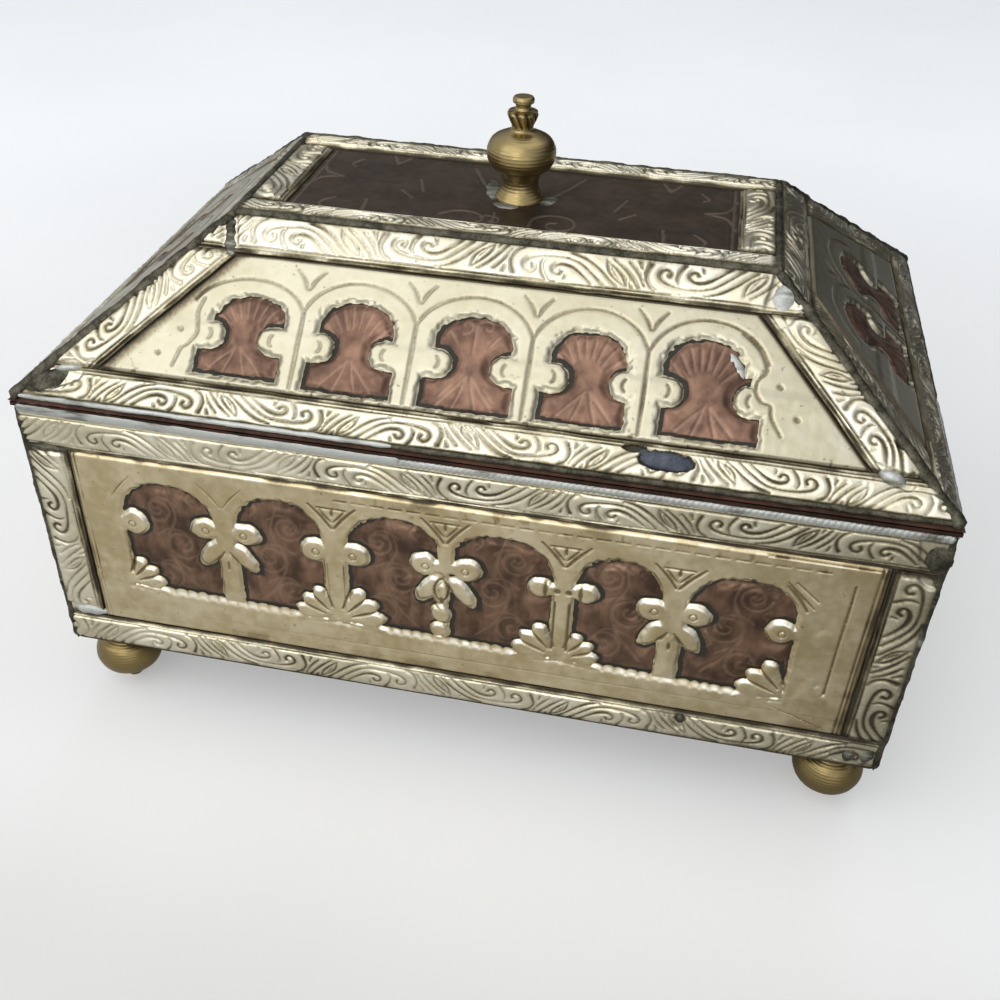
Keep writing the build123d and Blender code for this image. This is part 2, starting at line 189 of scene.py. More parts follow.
# %% Grids and strokes
def looked_up(grid, x, y):
    """Number of a grid at places counted in its steps, blended along and across: first between two
    neighbours along, then between the two results across."""
    i, j = x.astype(int), y.astype(int)
    s, t = x - i, y - j
    near = grid[i, j] * (1 - s) + grid[i + 1, j] * s
    far = grid[i, j + 1] * (1 - s) + grid[i + 1, j + 1] * s
    return near * (1 - t) + far * t


def curve(points, spacing=0.15):
    """Smooth curve through a few points, a Catmull-Rom spline: between two points it is a cubic,
    and its slope at each point is half the step from the point before to the point after."""
    p = np.array(points, float)
    longest = np.linalg.norm(np.diff(p[:, :2], axis=0), axis=1).max()
    steps = int(np.ceil(longest / spacing)) + 1
    p = np.vstack([2 * p[0] - p[1], p, 2 * p[-1] - p[-2]])
    t = np.linspace(0, 1, steps, endpoint=False)[:, None, None]
    a, b, c, d = p[:-3], p[1:-2], p[2:-1], p[3:]
    run = b + (c - a) * t / 2 + (a - 2.5 * b + 2 * c - d / 2) * t**2
    run = run + (1.5 * b - a / 2 - 1.5 * c + d / 2) * t**3
    return np.vstack([run.transpose(1, 0, 2).reshape(-1, p.shape[1]), p[-2]])


def groove_distance(x, y, strokes, reach=3.0):
    """Distance from each point to the edge of the nearest groove: the least |p - g| - w over the
    points g along the grooves, where w is the half width there. It is negative in a groove."""
    nearest = np.full(x.shape, reach)
    for stroke in strokes:
        line = curve(stroke)
        near = (x > line[:, 0].min() - reach) & (x < line[:, 0].max() + reach)
        near &= (y > line[:, 1].min() - reach) & (y < line[:, 1].max() + reach)
        if not near.any():
            continue
        away = np.hypot(x[near][:, None] - line[:, 0], y[near][:, None] - line[:, 1])
        nearest[near] = np.minimum(nearest[near], (away - line[:, 2]).min(axis=1))
    return nearest


print("points on a curve through 3 points:", len(curve([(0, 0), (1, 1), (2, 0)])))

# %% [markdown]
# The strips were rolled or struck with one running scroll: a wave that throws off two small
# volutes, breaks into slanting leaf strokes and comes back upside down. Only the grooves are
# drawn, as (along, across, half width), for one half wave. The metal between two grooves swells
# like a quarter circle of the distance to them, which is what pressed metal does. It is worked
# out once on a fine tile, because looking it up later is much cheaper than drawing it again.

# %% The scroll, drawn once
half_wave = 24.2
scroll_width = 9.2
scroll_low, scroll_high = 1.9, 7.3
swell = 0.8
tile_step = 0.1

scroll_grooves = [
    [(2.2, 2.1, 0.1), (4.0, 3.5, 0.2), (5.8, 4.6, 0.32), (7.4, 4.95, 0.36), (8.7, 4.7, 0.3),
     (9.3, 4.0, 0.24), (8.9, 3.3, 0.26), (8.1, 3.2, 0.26), (7.7, 3.7, 0.3)],
    [(0.0, 2.0, 0.12), (2.4, 4.0, 0.18), (4.8, 5.6, 0.2), (7.2, 6.2, 0.18), (9.8, 6.2, 0.18),
     (12.2, 5.9, 0.22), (13.9, 5.3, 0.27), (14.6, 4.4, 0.28), (14.2, 3.5, 0.26),
     (13.3, 3.2, 0.24), (12.6, 3.7, 0.26), (12.8, 4.35, 0.32)],
    [(10.9, 5.6, 0.06), (11.35, 4.7, 0.15), (11.2, 3.7, 0.18), (10.8, 2.9, 0.2), (10.2, 2.1, 0.16)],
    [(-2.2, 2.1, 0.12), (-0.5, 3.5, 0.2), (1.4, 5.1, 0.22), (3.6, 6.4, 0.24), (6.2, 7.15, 0.12)],
    [(14.9, 7.2, 0.1), (16.2, 6.4, 0.2), (16.9, 5.1, 0.24), (16.8, 3.9, 0.28), (16.3, 2.7, 0.34)],
    [(17.0, 6.7, 0.06), (17.9, 5.1, 0.18), (18.9, 3.9, 0.22), (19.9, 2.9, 0.14)],
    [(17.8, 3.7, 0.1), (18.2, 2.6, 0.18)],
    [(17.9, 7.2, 0.12), (19.1, 5.7, 0.22), (20.7, 4.1, 0.24), (22.7, 2.6, 0.12)],
    [(20.3, 7.0, 0.08), (20.8, 5.7, 0.22), (22.1, 4.3, 0.24), (24.0, 2.8, 0.08)],
    [(20.3, 7.0, 0.06), (22.3, 5.9, 0.18), (23.5, 4.6, 0.2), (24.0, 2.8, 0.06)],
    [(21.5, 6.0, 0.03), (22.4, 5.1, 0.12), (23.1, 4.1, 0.03)],
    [(6.9, 3.2, 0.1), (7.0, 2.5, 0.12)],
    [(19.2, 7.25, 0.1), (19.6, 6.5, 0.06)],
]


def upside_down(strokes, offset):
    """The grooves turned top to bottom and moved along by an offset."""
    return [[(x + offset, scroll_width - y, w) for x, y, w in stroke] for stroke in strokes]


tile_x, tile_y = np.meshgrid(
    np.arange(0, half_wave + 2 * tile_step, tile_step),
    np.arange(0, scroll_width + 2 * tile_step, tile_step),
    indexing="ij",
)
wave_before = upside_down(scroll_grooves, -half_wave)
wave_after = upside_down(scroll_grooves, half_wave)
tile_gap = groove_distance(tile_x, tile_y, wave_before + scroll_grooves + wave_after)
tile_rise = np.sqrt(1 - (1 - np.clip(tile_gap / swell, 0, 1)) ** 2)
tile_grime = 0.42 * (1 - tile_rise) + 0.55 * ramp(tile_gap, 0.06, -0.3)
print("scroll tile:", tile_rise.shape, "mean rise", round(float(tile_rise.mean()), 3))


def scroll(along, across, tile):
    """Number of a tile at places on an endless strip. Each half wave is the one before turned top
    to bottom."""
    wave, x = np.divmod(along, half_wave)
    y = np.where(wave % 2 == 1, scroll_width - across, across)
    return looked_up(tile, x / tile_step, np.clip(y, 0, scroll_width) / tile_step)


# %% [markdown]
# A strip, a chased copper face or a bead of solder is a grid of points. The same few lines turn
# any grid into a closed mesh: its own squares, walls down to a sole, and flat ends.


# %% The squares of a grid
def grid_faces(rows, columns, closed=False):
    """Corner numbers of the squares of a grid, whose last column meets the first if it is closed."""
    i, j = np.meshgrid(
        np.arange(rows - 1), np.arange(columns if closed else columns - 1), indexing="ij"
    )
    k = (j + 1) % columns
    here, there = i * columns, (i + 1) * columns
    return np.stack([here + j, there + j, there + k, here + k], axis=-1).reshape(-1, 4)


print("squares of a grid of 4 by 5 points:", len(grid_faces(4, 5)))

# %% Meshes and pieces
crease_angle = np.radians(62)
pieces_made = {}


def make_mesh(name, parts):
    """Mesh from closed parts. A part is its points in millimetres, its faces as one array for each
    number of corners, and named numbers for its points, which materials read as attributes."""
    mesh = bpy.data.meshes.new(name)
    points = np.vstack([part[0] for part in parts])
    offsets = np.cumsum([0] + [len(part[0]) for part in parts])
    groups = [np.asarray(faces) + offset for part, offset in zip(parts, offsets) for faces in part[1]]
    groups = [faces for faces in groups if len(faces)]
    mesh.vertices.add(len(points))
    mesh.vertices.foreach_set("co", (points * MM).astype(np.float32).ravel())
    loops = np.concatenate([faces.ravel() for faces in groups])
    mesh.loops.add(len(loops))
    mesh.loops.foreach_set("vertex_index", loops.astype(np.int32))
    sizes = np.concatenate([np.full(len(faces), faces.shape[1]) for faces in groups])
    mesh.polygons.add(len(sizes))
    starts = np.concatenate([[0], np.cumsum(sizes)[:-1]])
    mesh.polygons.foreach_set("loop_start", starts.astype(np.int32))
    mesh.update(calc_edges=True)
    mesh.validate()
    for label in parts[0][2]:
        attribute = mesh.attributes.new(label, "FLOAT", "POINT")
        numbers = np.concatenate([part[2][label] for part in parts])
        attribute.data.foreach_set("value", numbers.astype(np.float32))
    mesh.shade_smooth()
    mesh.set_sharp_from_angle(angle=crease_angle)
    return mesh


def add_piece(name, parts, material, body, replaced=None):
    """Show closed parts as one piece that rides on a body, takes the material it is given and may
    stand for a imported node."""
    mesh = make_mesh(name, parts)
    mesh.materials.append(material)
    piece = bpy.data.objects.new(name, mesh)
    bpy.context.scene.collection.objects.link(piece)
    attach(piece, body)
    if replaced:
        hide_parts(replaced)
    pieces_made[name] = len(mesh.polygons)


# %% Slabs and tubes
def slab(top, sole, values):
    """Closed part under a grid of points. The sole holds the lowest points below the grid's first
    and last column. Walls join them, a ladder of squares closes the underside, and each end is
    one flat face."""
    rows, columns = top.shape[:2]
    count = rows * columns
    row = np.arange(rows - 1)
    first, last = row * columns, row * columns + columns - 1
    low, high = count + 2 * row, count + 2 * row + 1
    near_wall = np.stack([first + columns, first, low, low + 2], axis=-1)
    far_wall = np.stack([last, last + columns, high + 2, high], axis=-1)
    under = np.stack([low, high, high + 2, low + 2], axis=-1)
    start = np.concatenate([[count], np.arange(columns), [count + 1]])[None, :]
    end_row = (rows - 1) * columns + np.arange(columns)
    end = np.concatenate([[count + 2 * rows - 2], end_row, [count + 2 * rows - 1]])[None, ::-1]
    kept = {}
    for label, numbers in values.items():
        edge = np.stack([numbers[:, 0], numbers[:, -1]], axis=1)
        kept[label] = np.concatenate([numbers.ravel(), edge.ravel()])
    squares = np.vstack([grid_faces(rows, columns), near_wall, far_wall, under])
    return np.vstack([top.reshape(-1, 3), sole.reshape(-1, 3)]), [squares, start, end], kept


def tube(rings, values):
    """Closed part from rings of points, each ring joined to the next and the two ends capped."""
    rows, columns = rings.shape[:2]
    start = np.arange(columns)[None, :]
    end = ((rows - 1) * columns + np.arange(columns))[None, ::-1]
    kept = {label: numbers.ravel() for label, numbers in values.items()}
    return rings.reshape(-1, 3), [grid_faces(rows, columns, True), start, end], kept


# %% [markdown]
# Shader maths reads best as plain expressions. A Wire is one output of a node: adding or
# multiplying wires adds Math nodes. Every other node comes from the one method, node.


# %% Shader maths as expressions
def plain(value):
    """What a node's socket takes: a wire's own socket, or the number or colour as it is."""
    return value.socket if isinstance(value, Wire) else value


class Wire:
    """An output socket in a material's nodes, with sums and products that add Math nodes."""

    def __init__(self, tree, socket):
        self.tree = tree
        self.socket = socket

    def node(self, kind, settings=None, inputs=None, output=0):
        """Add a node of a kind, with its settings, the values or wires for its sockets, and the
        output that comes back as a wire. The stops of a ramp are (place, value) pairs."""
        made = self.tree.nodes.new("ShaderNode" + kind)
        for label, value in (settings or {}).items():
            if label == "stops":
                while len(made.color_ramp.elements) < len(value):
                    made.color_ramp.elements.new(0.5)
                for element, (place, shade) in zip(made.color_ramp.elements, value):
                    element.position = place
                    element.color = (shade, shade, shade, 1)
            else:
                setattr(made, label, value)
        for label, value in (inputs or {}).items():
            if isinstance(value, Wire):
                self.tree.links.new(value.socket, made.inputs[label])
            else:
                made.inputs[label].default_value = value
        return Wire(self.tree, made.outputs[output])

    def maths(self, operation, first, second=0.0, clamp=False):
        settings = {"operation": operation, "use_clamp": clamp}
        return self.node("Math", settings, {0: first, 1: second})

    def __add__(self, other):
        return self.maths("ADD", self, other)

    def __sub__(self, other):
        return self.maths("SUBTRACT", self, other)

    def __rsub__(self, other):
        return self.maths("SUBTRACT", other, self)

    def __mul__(self, other):
        return self.maths("MULTIPLY", self, other)

    __radd__ = __add__
    __rmul__ = __mul__

    def held(self):
        """The same number, held between 0 and 1."""
        return self.maths("ADD", self, 0.0, clamp=True)

    def most(self, other):
        return self.maths("MAXIMUM", self, other)

    def between(self, low, high):
        """0 at low and 1 at high, eased, and held there beyond them."""
        settings = {"interpolation_type": "SMOOTHSTEP"}
        return self.node("MapRange", settings, {0: self, 1: low, 2: high})

    def tint(self, low, high):
        """Colour that goes from low to high as this number goes from 0 to 1."""
        return self.node("Mix", {"data_type": "RGBA"}, {0: self, 6: low, 7: high}, 2)


# %% Finishes
class Finish:
    """A metal finish: one material, with its place on the object as a wire to start from."""

    def __init__(self, name):
        self.material = bpy.data.materials.new(name)
        self.material.use_nodes = True
        self.tree = self.material.node_tree
        self.shader = self.tree.nodes["Principled BSDF"]
        start = Wire(self.tree, None)
        self.place = start.node("TexCoord", output="Object")

    def cloud(self, size, detail=3.0, stretch=(1, 1, 1)):
        """Soft noise from 0 to 1, with patches of a size in millimetres, drawn out by stretch."""
        scale = {3: tuple(1 / (MM * size * pull) for pull in stretch)}
        where = self.place.node("Mapping", inputs={0: self.place, **scale})
        return self.place.node("TexNoise", inputs={"Vector": where, "Scale": 1.0, "Detail": detail})

    def kept(self, label):
        """A number kept at each point of the mesh. It is 0 on a mesh that has none."""
        return self.place.node("Attribute", {"attribute_name": label}, output="Fac")

    def bumps(self, height, strength, reach):
        """Normals for small unevenness: a height from 0 to 1, over a reach in millimetres."""
        inputs = {"Height": height, "Strength": strength, "Distance": reach * MM}
        return self.place.node("Bump", inputs=inputs)

    def paint(self, **sockets):
        """Set the shader's sockets, named as in the shader, with spaces for underscores."""
        for label, value in sockets.items():
            socket = self.shader.inputs[label.replace("_", " ")]
            if isinstance(value, Wire):
                self.tree.links.new(value.socket, socket)
            else:
                socket.default_value = value
        return self.material


# %% Colours
def web(code):
    """Linear colour from a web colour: a channel c becomes ((c + 0.055) / 1.055) to the 2.4."""
    channels = np.array([int(code[i:i + 2], 16) for i in (0, 2, 4)]) / 255
    linear = np.where(channels < 0.0405, channels / 12.92, ((channels + 0.055) / 1.055) ** 2.4)
    return (*linear.tolist(), 1.0)


print("web 808080 is", round(web("808080")[0], 3), "of full light")

# %% [markdown]
# Nickel silver is a pale brass-like metal. On the strips it is rubbed bright on the swellings and
# dark brown in the grooves. The mesh keeps how dark each point is painted, so the dirt follows the
# real grooves instead of a guess. The same number holds painted shade along edges and towards the
# right, and below 0 a painted highlight on the upward-facing edges of the sheets.

# %% Nickel silver
def nickel_silver(name, bright, warm, stain, dirt, spread):
    """Pale worn metal: two tones in soft patches, a thin stain where the kept number starts to rise,
    dark dirt and painted shade where it passes a ragged limit, and a fine grain that breaks up the
    gloss. Below 0 the kept number is a painted highlight: edges that face up are painted near white."""
    finish = Finish(name)
    patches = finish.cloud(14.0, 3.0)
    fine = finish.cloud(0.6, 5.0)
    mottle = finish.cloud(2.4, 5.0)
    tone = (patches * 0.6 + mottle * 0.4).between(0.5 - spread, 0.5 + spread).tint(web(warm), web(bright))
    ragged = finish.kept("recess") + (fine - 0.5) * 0.3 + (mottle - 0.5) * 0.25
    thin = ragged.between(0.1, 0.6)
    dark = ragged.between(0.45, 0.95)
    specks = finish.cloud(1.1, 6.0).between(0.66, 0.74) * 0.5
    # Dark dirt and painted shade alike, from the kept number.
    dark_dirt_and_shade = dark.most(specks)
    colour = dark_dirt_and_shade.tint(thin.tint(tone, web(stain)), web(dirt))
    # Painted highlight: where the kept number is below 0 the metal is painted near white.
    painted_highlight = (finish.kept("recess") * -1.0).held()
    return finish.paint(
        Base_Color=painted_highlight.tint(colour, web("f4efe0")),
        Metallic=1.0 - dark_dirt_and_shade * 0.5 - thin * 0.1,
        Roughness=0.27 + fine * 0.16 + thin * 0.12 + dark_dirt_and_shade * 0.1 - painted_highlight * 0.06,
        Normal=finish.bumps(fine * 0.6 + mottle * 0.4, 0.3, 0.1),
    )


strip_silver = nickel_silver("strip_silver", "e6e1ce", "c6bca0", "7d7459", "38301f", 0.22)
base_strip_silver = nickel_silver("base_strip_silver", "e2dcc6", "c2b89c", "7b7258", "352d1e", 0.2)
sheet_silver = nickel_silver("sheet_silver", "d2c5a4", "b5a47e", "8f7f5b", "463a2a", 0.15)
lid_silver = nickel_silver("lid_silver", "bdb7a2", "aea78d", "8f846a", "443a2c", 0.18)

# %% [markdown]
# Solder is soft grey tin and lead. It was run on with an iron, so it is lumpy, dull and dark
# where it has tarnished, and pale only where it was brushed.


# %% Solder
def tin_solder(name, dark, grey):
    """Dull metal in light and dark patches, paler where the mesh says it was brushed."""
    finish = Finish(name)
    patches = finish.cloud(2.6, 5.0)
    fine = finish.cloud(0.5, 5.0)
    scrapes = finish.cloud(1.2, 3.0, (4.0, 1.0, 1.0))
    brushed = (finish.kept("brushed") + (scrapes - 0.5) * 0.8).between(0.35, 0.8)
    dull = (patches * 0.6 + fine * 0.4).between(0.35, 0.68).tint(web(dark), web(grey))
    return finish.paint(
        Base_Color=brushed.tint(dull, web("bbbcb6")),
        Metallic=0.85,
        Roughness=0.38 + fine * 0.3,
        Normal=finish.bumps(fine * 0.6 + scrapes * 0.4, 0.5, 0.2),
    )


solder = tin_solder("tin_solder", "2f2d23", "686455")
tear_solder = tin_solder("tear_solder", "3d4048", "595e68")

# %% [markdown]
# The copper behind the openings is brown with age and redder where it was rubbed. On the flat top
# it is almost black. Chased lines catch the light, so they are painted paler, a painted highlight,
# and the mesh keeps them as "chased". Along the edge of the sheet over it, the copper is painted
# near black as the sheet's shadow.


# %% Copper
def aged_copper(name, red, brown, line, line_highlight_strength, shine):
    """Copper gone brown in patches, with chased lines painted in a paler tone as a painted highlight,
    and a painted shadow, near black, along the edge of the sheet over it.
    """
    finish = Finish(name)
    patches = finish.cloud(7.0, 5.0)
    fine = finish.cloud(0.8, 5.0)
    rubs = finish.cloud(2.2, 4.0, (1.0, 1.0, 2.5))
    tone = (patches * 0.6 + rubs * 0.4).between(0.36, 0.66).tint(web(brown), web(red))
    # Chased lines painted paler: a painted highlight.
    lines = (finish.kept("chased") * (0.5 + patches) * line_highlight_strength).held()
    # Painted shadow of the sheet's edge, near black.
    gloom = (finish.kept("gloom") + (fine - 0.5) * 0.7).between(0.3, 0.75)
    return finish.paint(
        Base_Color=gloom.tint(lines.tint(tone, web(line)), web("2f2c24")),
        Metallic=0.9 - gloom * 0.5,
        Roughness=shine + fine * 0.2 + gloom * 0.2,
        Normal=finish.bumps(fine * 0.5 + rubs * 0.5, 0.3, 0.15),
    )


copper = aged_copper("copper", "876a56", "4f3d31", "9e836c", 0.33, 0.3)
lid_copper = aged_copper("lid_copper", "8b6c5a", "5c463b", "ab8d78", 0.3, 0.34)
# A darker copy of the copper for the imported box and lid: painted shade, mostly for the seam under the lid,
# which lies in shadow.
shaded_wall_copper = aged_copper("shaded_wall_copper", "4f372c", "352720", "7a5c4a", 0.0, 0.45)
dark_copper = aged_copper("dark_copper", "53453a", "41362d", "857b6d", 0.45, 0.4)

# %% [markdown]
# The feet and the knob were turned on a lathe from brass and have tarnished olive brown in the
# hollows. The fine rings of the lathe tool are in the mesh.


# %% Brass
def turned_brass(name, bright, dark):
    """Yellow metal, darker and duller in patches and where the mesh keeps tarnish."""
    finish = Finish(name)
    patches = finish.cloud(3.5, 5.0)
    fine = finish.cloud(0.4, 4.0)
    tarnish = (patches * 0.7 + finish.kept("recess") * 0.9 - 0.1).between(0.25, 0.95)
    return finish.paint(
        Base_Color=tarnish.tint(web(bright), web(dark)),
        Metallic=0.95,
        Roughness=0.24 + fine * 0.15 + tarnish * 0.15,
        Normal=finish.bumps(fine, 0.25, 0.1),
    )


brass = turned_brass("knob_brass", "99875c", "4d4229")
# A darker copy of the brass for the feet: painted shade, since the feet stand in shadow under the chest.
shaded_foot_brass = turned_brass("shaded_foot_brass", "85744c", "3c321e")
print("finishes:", len(bpy.data.materials))

# %% [markdown]
# A strip is pressed thin metal, so its cross section is a low crown between two edges. The scroll
# presses grooves into the crown, fine lines run along its sides, and everything is a little
# uneven. Rows follow the strip and columns cross it. The ends may slant, as at a mitre, where the
# place along the strip changes in step with the distance across. One strip of the lid's rim is
# torn, so its metal is let down where the tear is. It is let down under the lumps of solder too,
# which would not show over it otherwise. A bump in the material could draw the scroll with less
# work, but it would look flat from the side and be gone from the mesh.

# %% Where solder lies on the front, and the tear
torn_half = 5.4
torn_rise = 2.0
Lump = namedtuple("Lump", "start end half height brushed uneven")
wall_lumps = [
    Lump((85.0, 4.4), (88.6, 3.0), 3.6, 1.5, 0.4, 0.3),
    Lump((81.4, 3.4), (84.8, 2.6), 2.2, 1.4, 0.25, 0.3),
    Lump((86.4, 60.4), (88.0, 53.2), 3.0, 1.5, 0.3, 0.25),
    Lump((-88.2, 9.6), (-79.6, 9.2), 1.6, 1.42, 0.65, 0.25),
    Lump((-89.0, 53.2), (-80.0, 53.0), 1.1, 1.42, 0.1, 0.25),
    Lump((47.8, 4.2), (48.0, 7.6), 1.15, 1.42, 0.1, 0.1),
]
slope_lumps = [
    Lump((55.3, 41.6), (53.9, 34.8), 2.9, 1.45, 0.8, 0.24),
    Lump((-53.6, 42.0), (-51.8, 33.4), 1.6, 1.45, 0.4, 0.32),
    Lump((-87.4, 1.6), (-78.0, 6.2), 2.4, 1.42, 0.1, 0.2),
    Lump((-82.0, 6.0), (-76.0, 7.4), 0.9, 1.45, 0.8, 0.2),
    Lump((74.2, 7.6), (79.4, 6.0), 1.3, 1.5, 0.7, 0.25),
]


def tear(face, u, v):
    """How far a place lies inside the tear of the front rim strip."""
    if face is not slopes["front"]:
        return np.full(u.shape, -1.0)
    main = 1 - np.hypot((u - 37.2) / torn_half, (v - 4.1) / torn_rise)
    tongue = 1 - np.hypot((u - 31.4) / 2.4, (v - 5.8) / 0.8)
    return np.maximum(main, 0.6 * tongue) + 0.12 * noise(u, v, 3, 0.9)


def under_lumps(face, u, v):
    """How far a place lies inside the nearest lump of solder of the front."""
    lumps = wall_lumps if face is walls["front"] else slope_lumps if face is slopes["front"] else []
    depth = np.full(u.shape, -9.0)
    for lump in lumps:
        (a, b), (c, d) = lump.start, lump.end
        share = np.clip(((u - a) * (c - a) + (v - b) * (d - b)) / ((c - a) ** 2 + (d - b) ** 2), 0, 1)
        reach = np.hypot(u - a - share * (c - a), v - b - share * (d - b))
        depth = np.maximum(depth, lump.half - reach)
    return depth


print("lumps of solder:", len(wall_lumps), "on the front wall,", len(slope_lumps), "on the slope")

# %% The pattern and the dirt of a strip
line_half = 0.08
line_swell = 0.34
scroll_run_in = 900.0


def strip_pattern(along, across, band, first, phase, seed):
    """The pressed pattern at places on a strip: how far the metal rises, from 0 in a groove to 1,
    and the dirt in it. The scroll lies between its first line and a last one, and is stretched to
    fill the room between them."""
    wander = 0.25 * noise(along, seed, 0, 9.0)
    stretch = 0.5 * noise(along, seed, 40, 14.0)
    last = band - 1.5
    scale = (scroll_high - scroll_low) / (last - first)
    scaled = scroll_low + (across - first) * scale
    place = (along + phase + stretch) * 0.5 * (1 + scale) + scroll_run_in
    inside = ramp(scaled, scroll_low - 0.3, scroll_low) * ramp(scaled, scroll_high + 0.25, scroll_high)
    rise = 1 - (1 - scroll(place, scaled + wander, tile_rise)) * inside
    grime = scroll(place, scaled + wander, tile_grime) * inside
    for line in (first - 0.3, last + 0.25, band - 0.55):
        gap = np.abs(across + 0.3 * wander - line) - line_half
        hollow = (1 - np.clip(gap / line_swell, 0, 1)) ** 2
        rise = np.minimum(rise, np.sqrt(1 - hollow))
        grime = np.maximum(grime, 0.6 * hollow)
    return rise, grime


def edge_dirt_and_shade(along, across, outer, band, seed):
    """Darkening along the two edges of a strip, partly dirt in the joint and partly painted shade
    where the rounded strip turns from the light: an even line at each, and a ragged border inside it.
    """
    even = 0.7 * ramp(across, outer + 0.9, outer) + 0.7 * ramp(across, band - 0.3, band)
    ragged = 0.5 + 0.4 * noise(along, across, seed + 60, 3.0)
    return even + ragged * (ramp(across, outer + 2.2, outer) + ramp(across, band - 1.6, band))


# %% One pressed strip
strip_edge = 0.55
strip_crown = 1.37
groove_depth = 0.46
end_drop = 0.35
edge_wander = 0.17
strip_waves, strip_grain = 0.03, 0.012
lowest_metal = 0.2
torn_height = 0.15
let_down_height = 0.6


def pressed_strip(face, start, heading, ends, outer, band, phase, step, age=1.0, scroll_from=None):
    """One strip on a face. It starts at a point of the face and heads along it, with its inner
    side to the left. Outer and band are where its outer and inner edge lie. Ends are (near, near
    slant, far, far slant). The height is edge + crown·(1 - |x|^2.3)^0.8 - groove depth·wear·(1 -
    rise), where x crosses the strip from -1 to 1."""
    heading = np.array(heading, float) / np.linalg.norm(heading)
    inward = np.array([-heading[1], heading[0]])
    across = np.linspace(outer, band, len(np.arange(outer, band + step / 2, step)))
    near = ends[0] + ends[1] * across
    far = ends[2] + ends[3] * across
    rows = int(np.ceil((far - near).max() / step)) + 1
    along = near + (far - near) * np.linspace(0, 1, rows)[:, None]
    across = np.broadcast_to(across, along.shape)
    seed = 37.0 * phase
    first = outer + 0.7 if scroll_from is None else scroll_from
    rise, grime = strip_pattern(along, across, band, first, phase, seed)
    wear = np.clip(0.84 + 0.42 * noise(along, across, seed, 9.0), 0.45, 1.15)
    x = np.clip(np.abs(2 * across / band - 1), 0, 1)
    low = (strip_crown - strip_edge) * (1 - x**2.3) ** 0.8
    run_out = np.minimum(along - near, far - along)
    low = low - end_drop * ramp(run_out, 1.6, 0.0)
    height = strip_edge + low - groove_depth * wear * (1 - rise)
    height = height + strip_waves * noise(along, across, seed, 5.0) - strip_waves
    height = height + strip_grain * noise(along, across, seed, 0.8)
    drift = edge_wander * noise(along, seed, 7, 4.0) * ramp(across, band - 1.2, band)
    u = start[0] + along * heading[0] + (across + drift) * inward[0]
    v = start[1] + along * heading[1] + (across + drift) * inward[1]
    torn = ramp(tear(face, u, v), 0.0, 0.12)
    height = np.clip(height, lowest_metal, crown - 0.01) * (1 - torn) + torn_height * torn
    covered = ramp(under_lumps(face, u, v), -0.5, 0.4)
    height = height - covered * np.maximum(height - let_down_height, 0)
    top = face.place(u, v, height)
    sole = face.place(u[:, [0, -1]], v[:, [0, -1]], np.zeros((rows, 2)))
    patchy = 0.72 + 0.55 * noise(along, across, seed + 50, 9.0)
    # The edges are darkened partly by dirt and partly by painted shade of the rounded strip.
    dirt = edge_dirt_and_shade(along, across, outer, band, seed)
    # On the front wall the strips are painted darker towards the right: painted shade on the side away from
    # the light.
    shade_to_right = 0.24 * ramp(u, 10, 85) if face is walls["front"] else 0.0
    # The kept number holds dirt in the grooves, and painted shade at the edges and towards the right.
    recess = grime * age * patchy + dirt + 0.5 * ramp(run_out, 1.5, 0.2) + torn + shade_to_right
    recess = np.clip(recess, 0, 1)
    return slab(top, sole, {"recess": recess})


# %% [markdown]
# Every strip gets its own phase of the scroll, dealt out in a mixed order, so no two start alike.
# On the body a low strip and a top strip run along each wall, and one strip is bent round each
# upright corner: two halves with one scroll running on from the first to the second.

# %% The strips of the body
fine_step, coarse_step = 0.22, 0.34
edge_gap = 0.6
joint_gap = 0.15
seam_cover = 2.5
phases = iter(np.linspace(0.4, 47.0, 37)[np.random.default_rng(5).permutation(37)])
order = ["front", "right", "back", "left"]
neighbours = list(zip(order, order[1:] + order[:1]))


def grid_step(name):
    """Fine grids for the strips of the front, coarser ones for the rest."""
    return fine_step if name == "front" else coarse_step


def add_strip(name, parts, node):
    """A strip of the body or the lid, as its name says, in the place of a packed band."""
    body = name.split("_")[0]
    silver = base_strip_silver if body == "base" else strip_silver
    add_piece(name, parts, silver, body, node)


for name, after in neighbours:
    face, beside = walls[name], walls[after]
    half, high, step = face.half_foot, face.height - flange, grid_step(name)
    flat = (edge_gap, 0, 2 * half - edge_gap, 0)
    low = pressed_strip(face, (-half, 0.05), (1, 0), flat, 0, foot_band, next(phases), step, 0.85)
    add_strip(f"base_bottom_strip_{name}", [low], f"base_{name}_bottom_band")
    top = pressed_strip(
        face, (half, high), (-1, 0), flat, 0, body_band, next(phases), step, scroll_from=seam_cover
    )
    add_strip(f"base_top_strip_{name}", [top], f"base_{name}_top_band")
    upright = (joint_gap, 0, high - body_band - foot_band - joint_gap, 0)
    phase = next(phases)
    near = pressed_strip(face, (half, foot_band), (0, 1), upright, edge_gap, body_band, phase, step)
    start, phase = (-beside.half_foot, high - body_band), phase + half_wave
    far = pressed_strip(
        beside, start, (0, -1), upright, edge_gap, body_band, phase, grid_step(after)
    )
    add_strip(f"base_corner_strip_{name}_{after}", [near, far], f"base_{name}_{after}_corner_band")
print("strips of the body:", len(pieces_made))

# %% [markdown]
# On the lid the strips meet at mitres. The ends of the rim and ridge strips slant as the edges of
# the slope do, and a strip that is bent over a hip has both of its ends cut level.

# %% The strips of the slopes
mitre_gap = 0.1


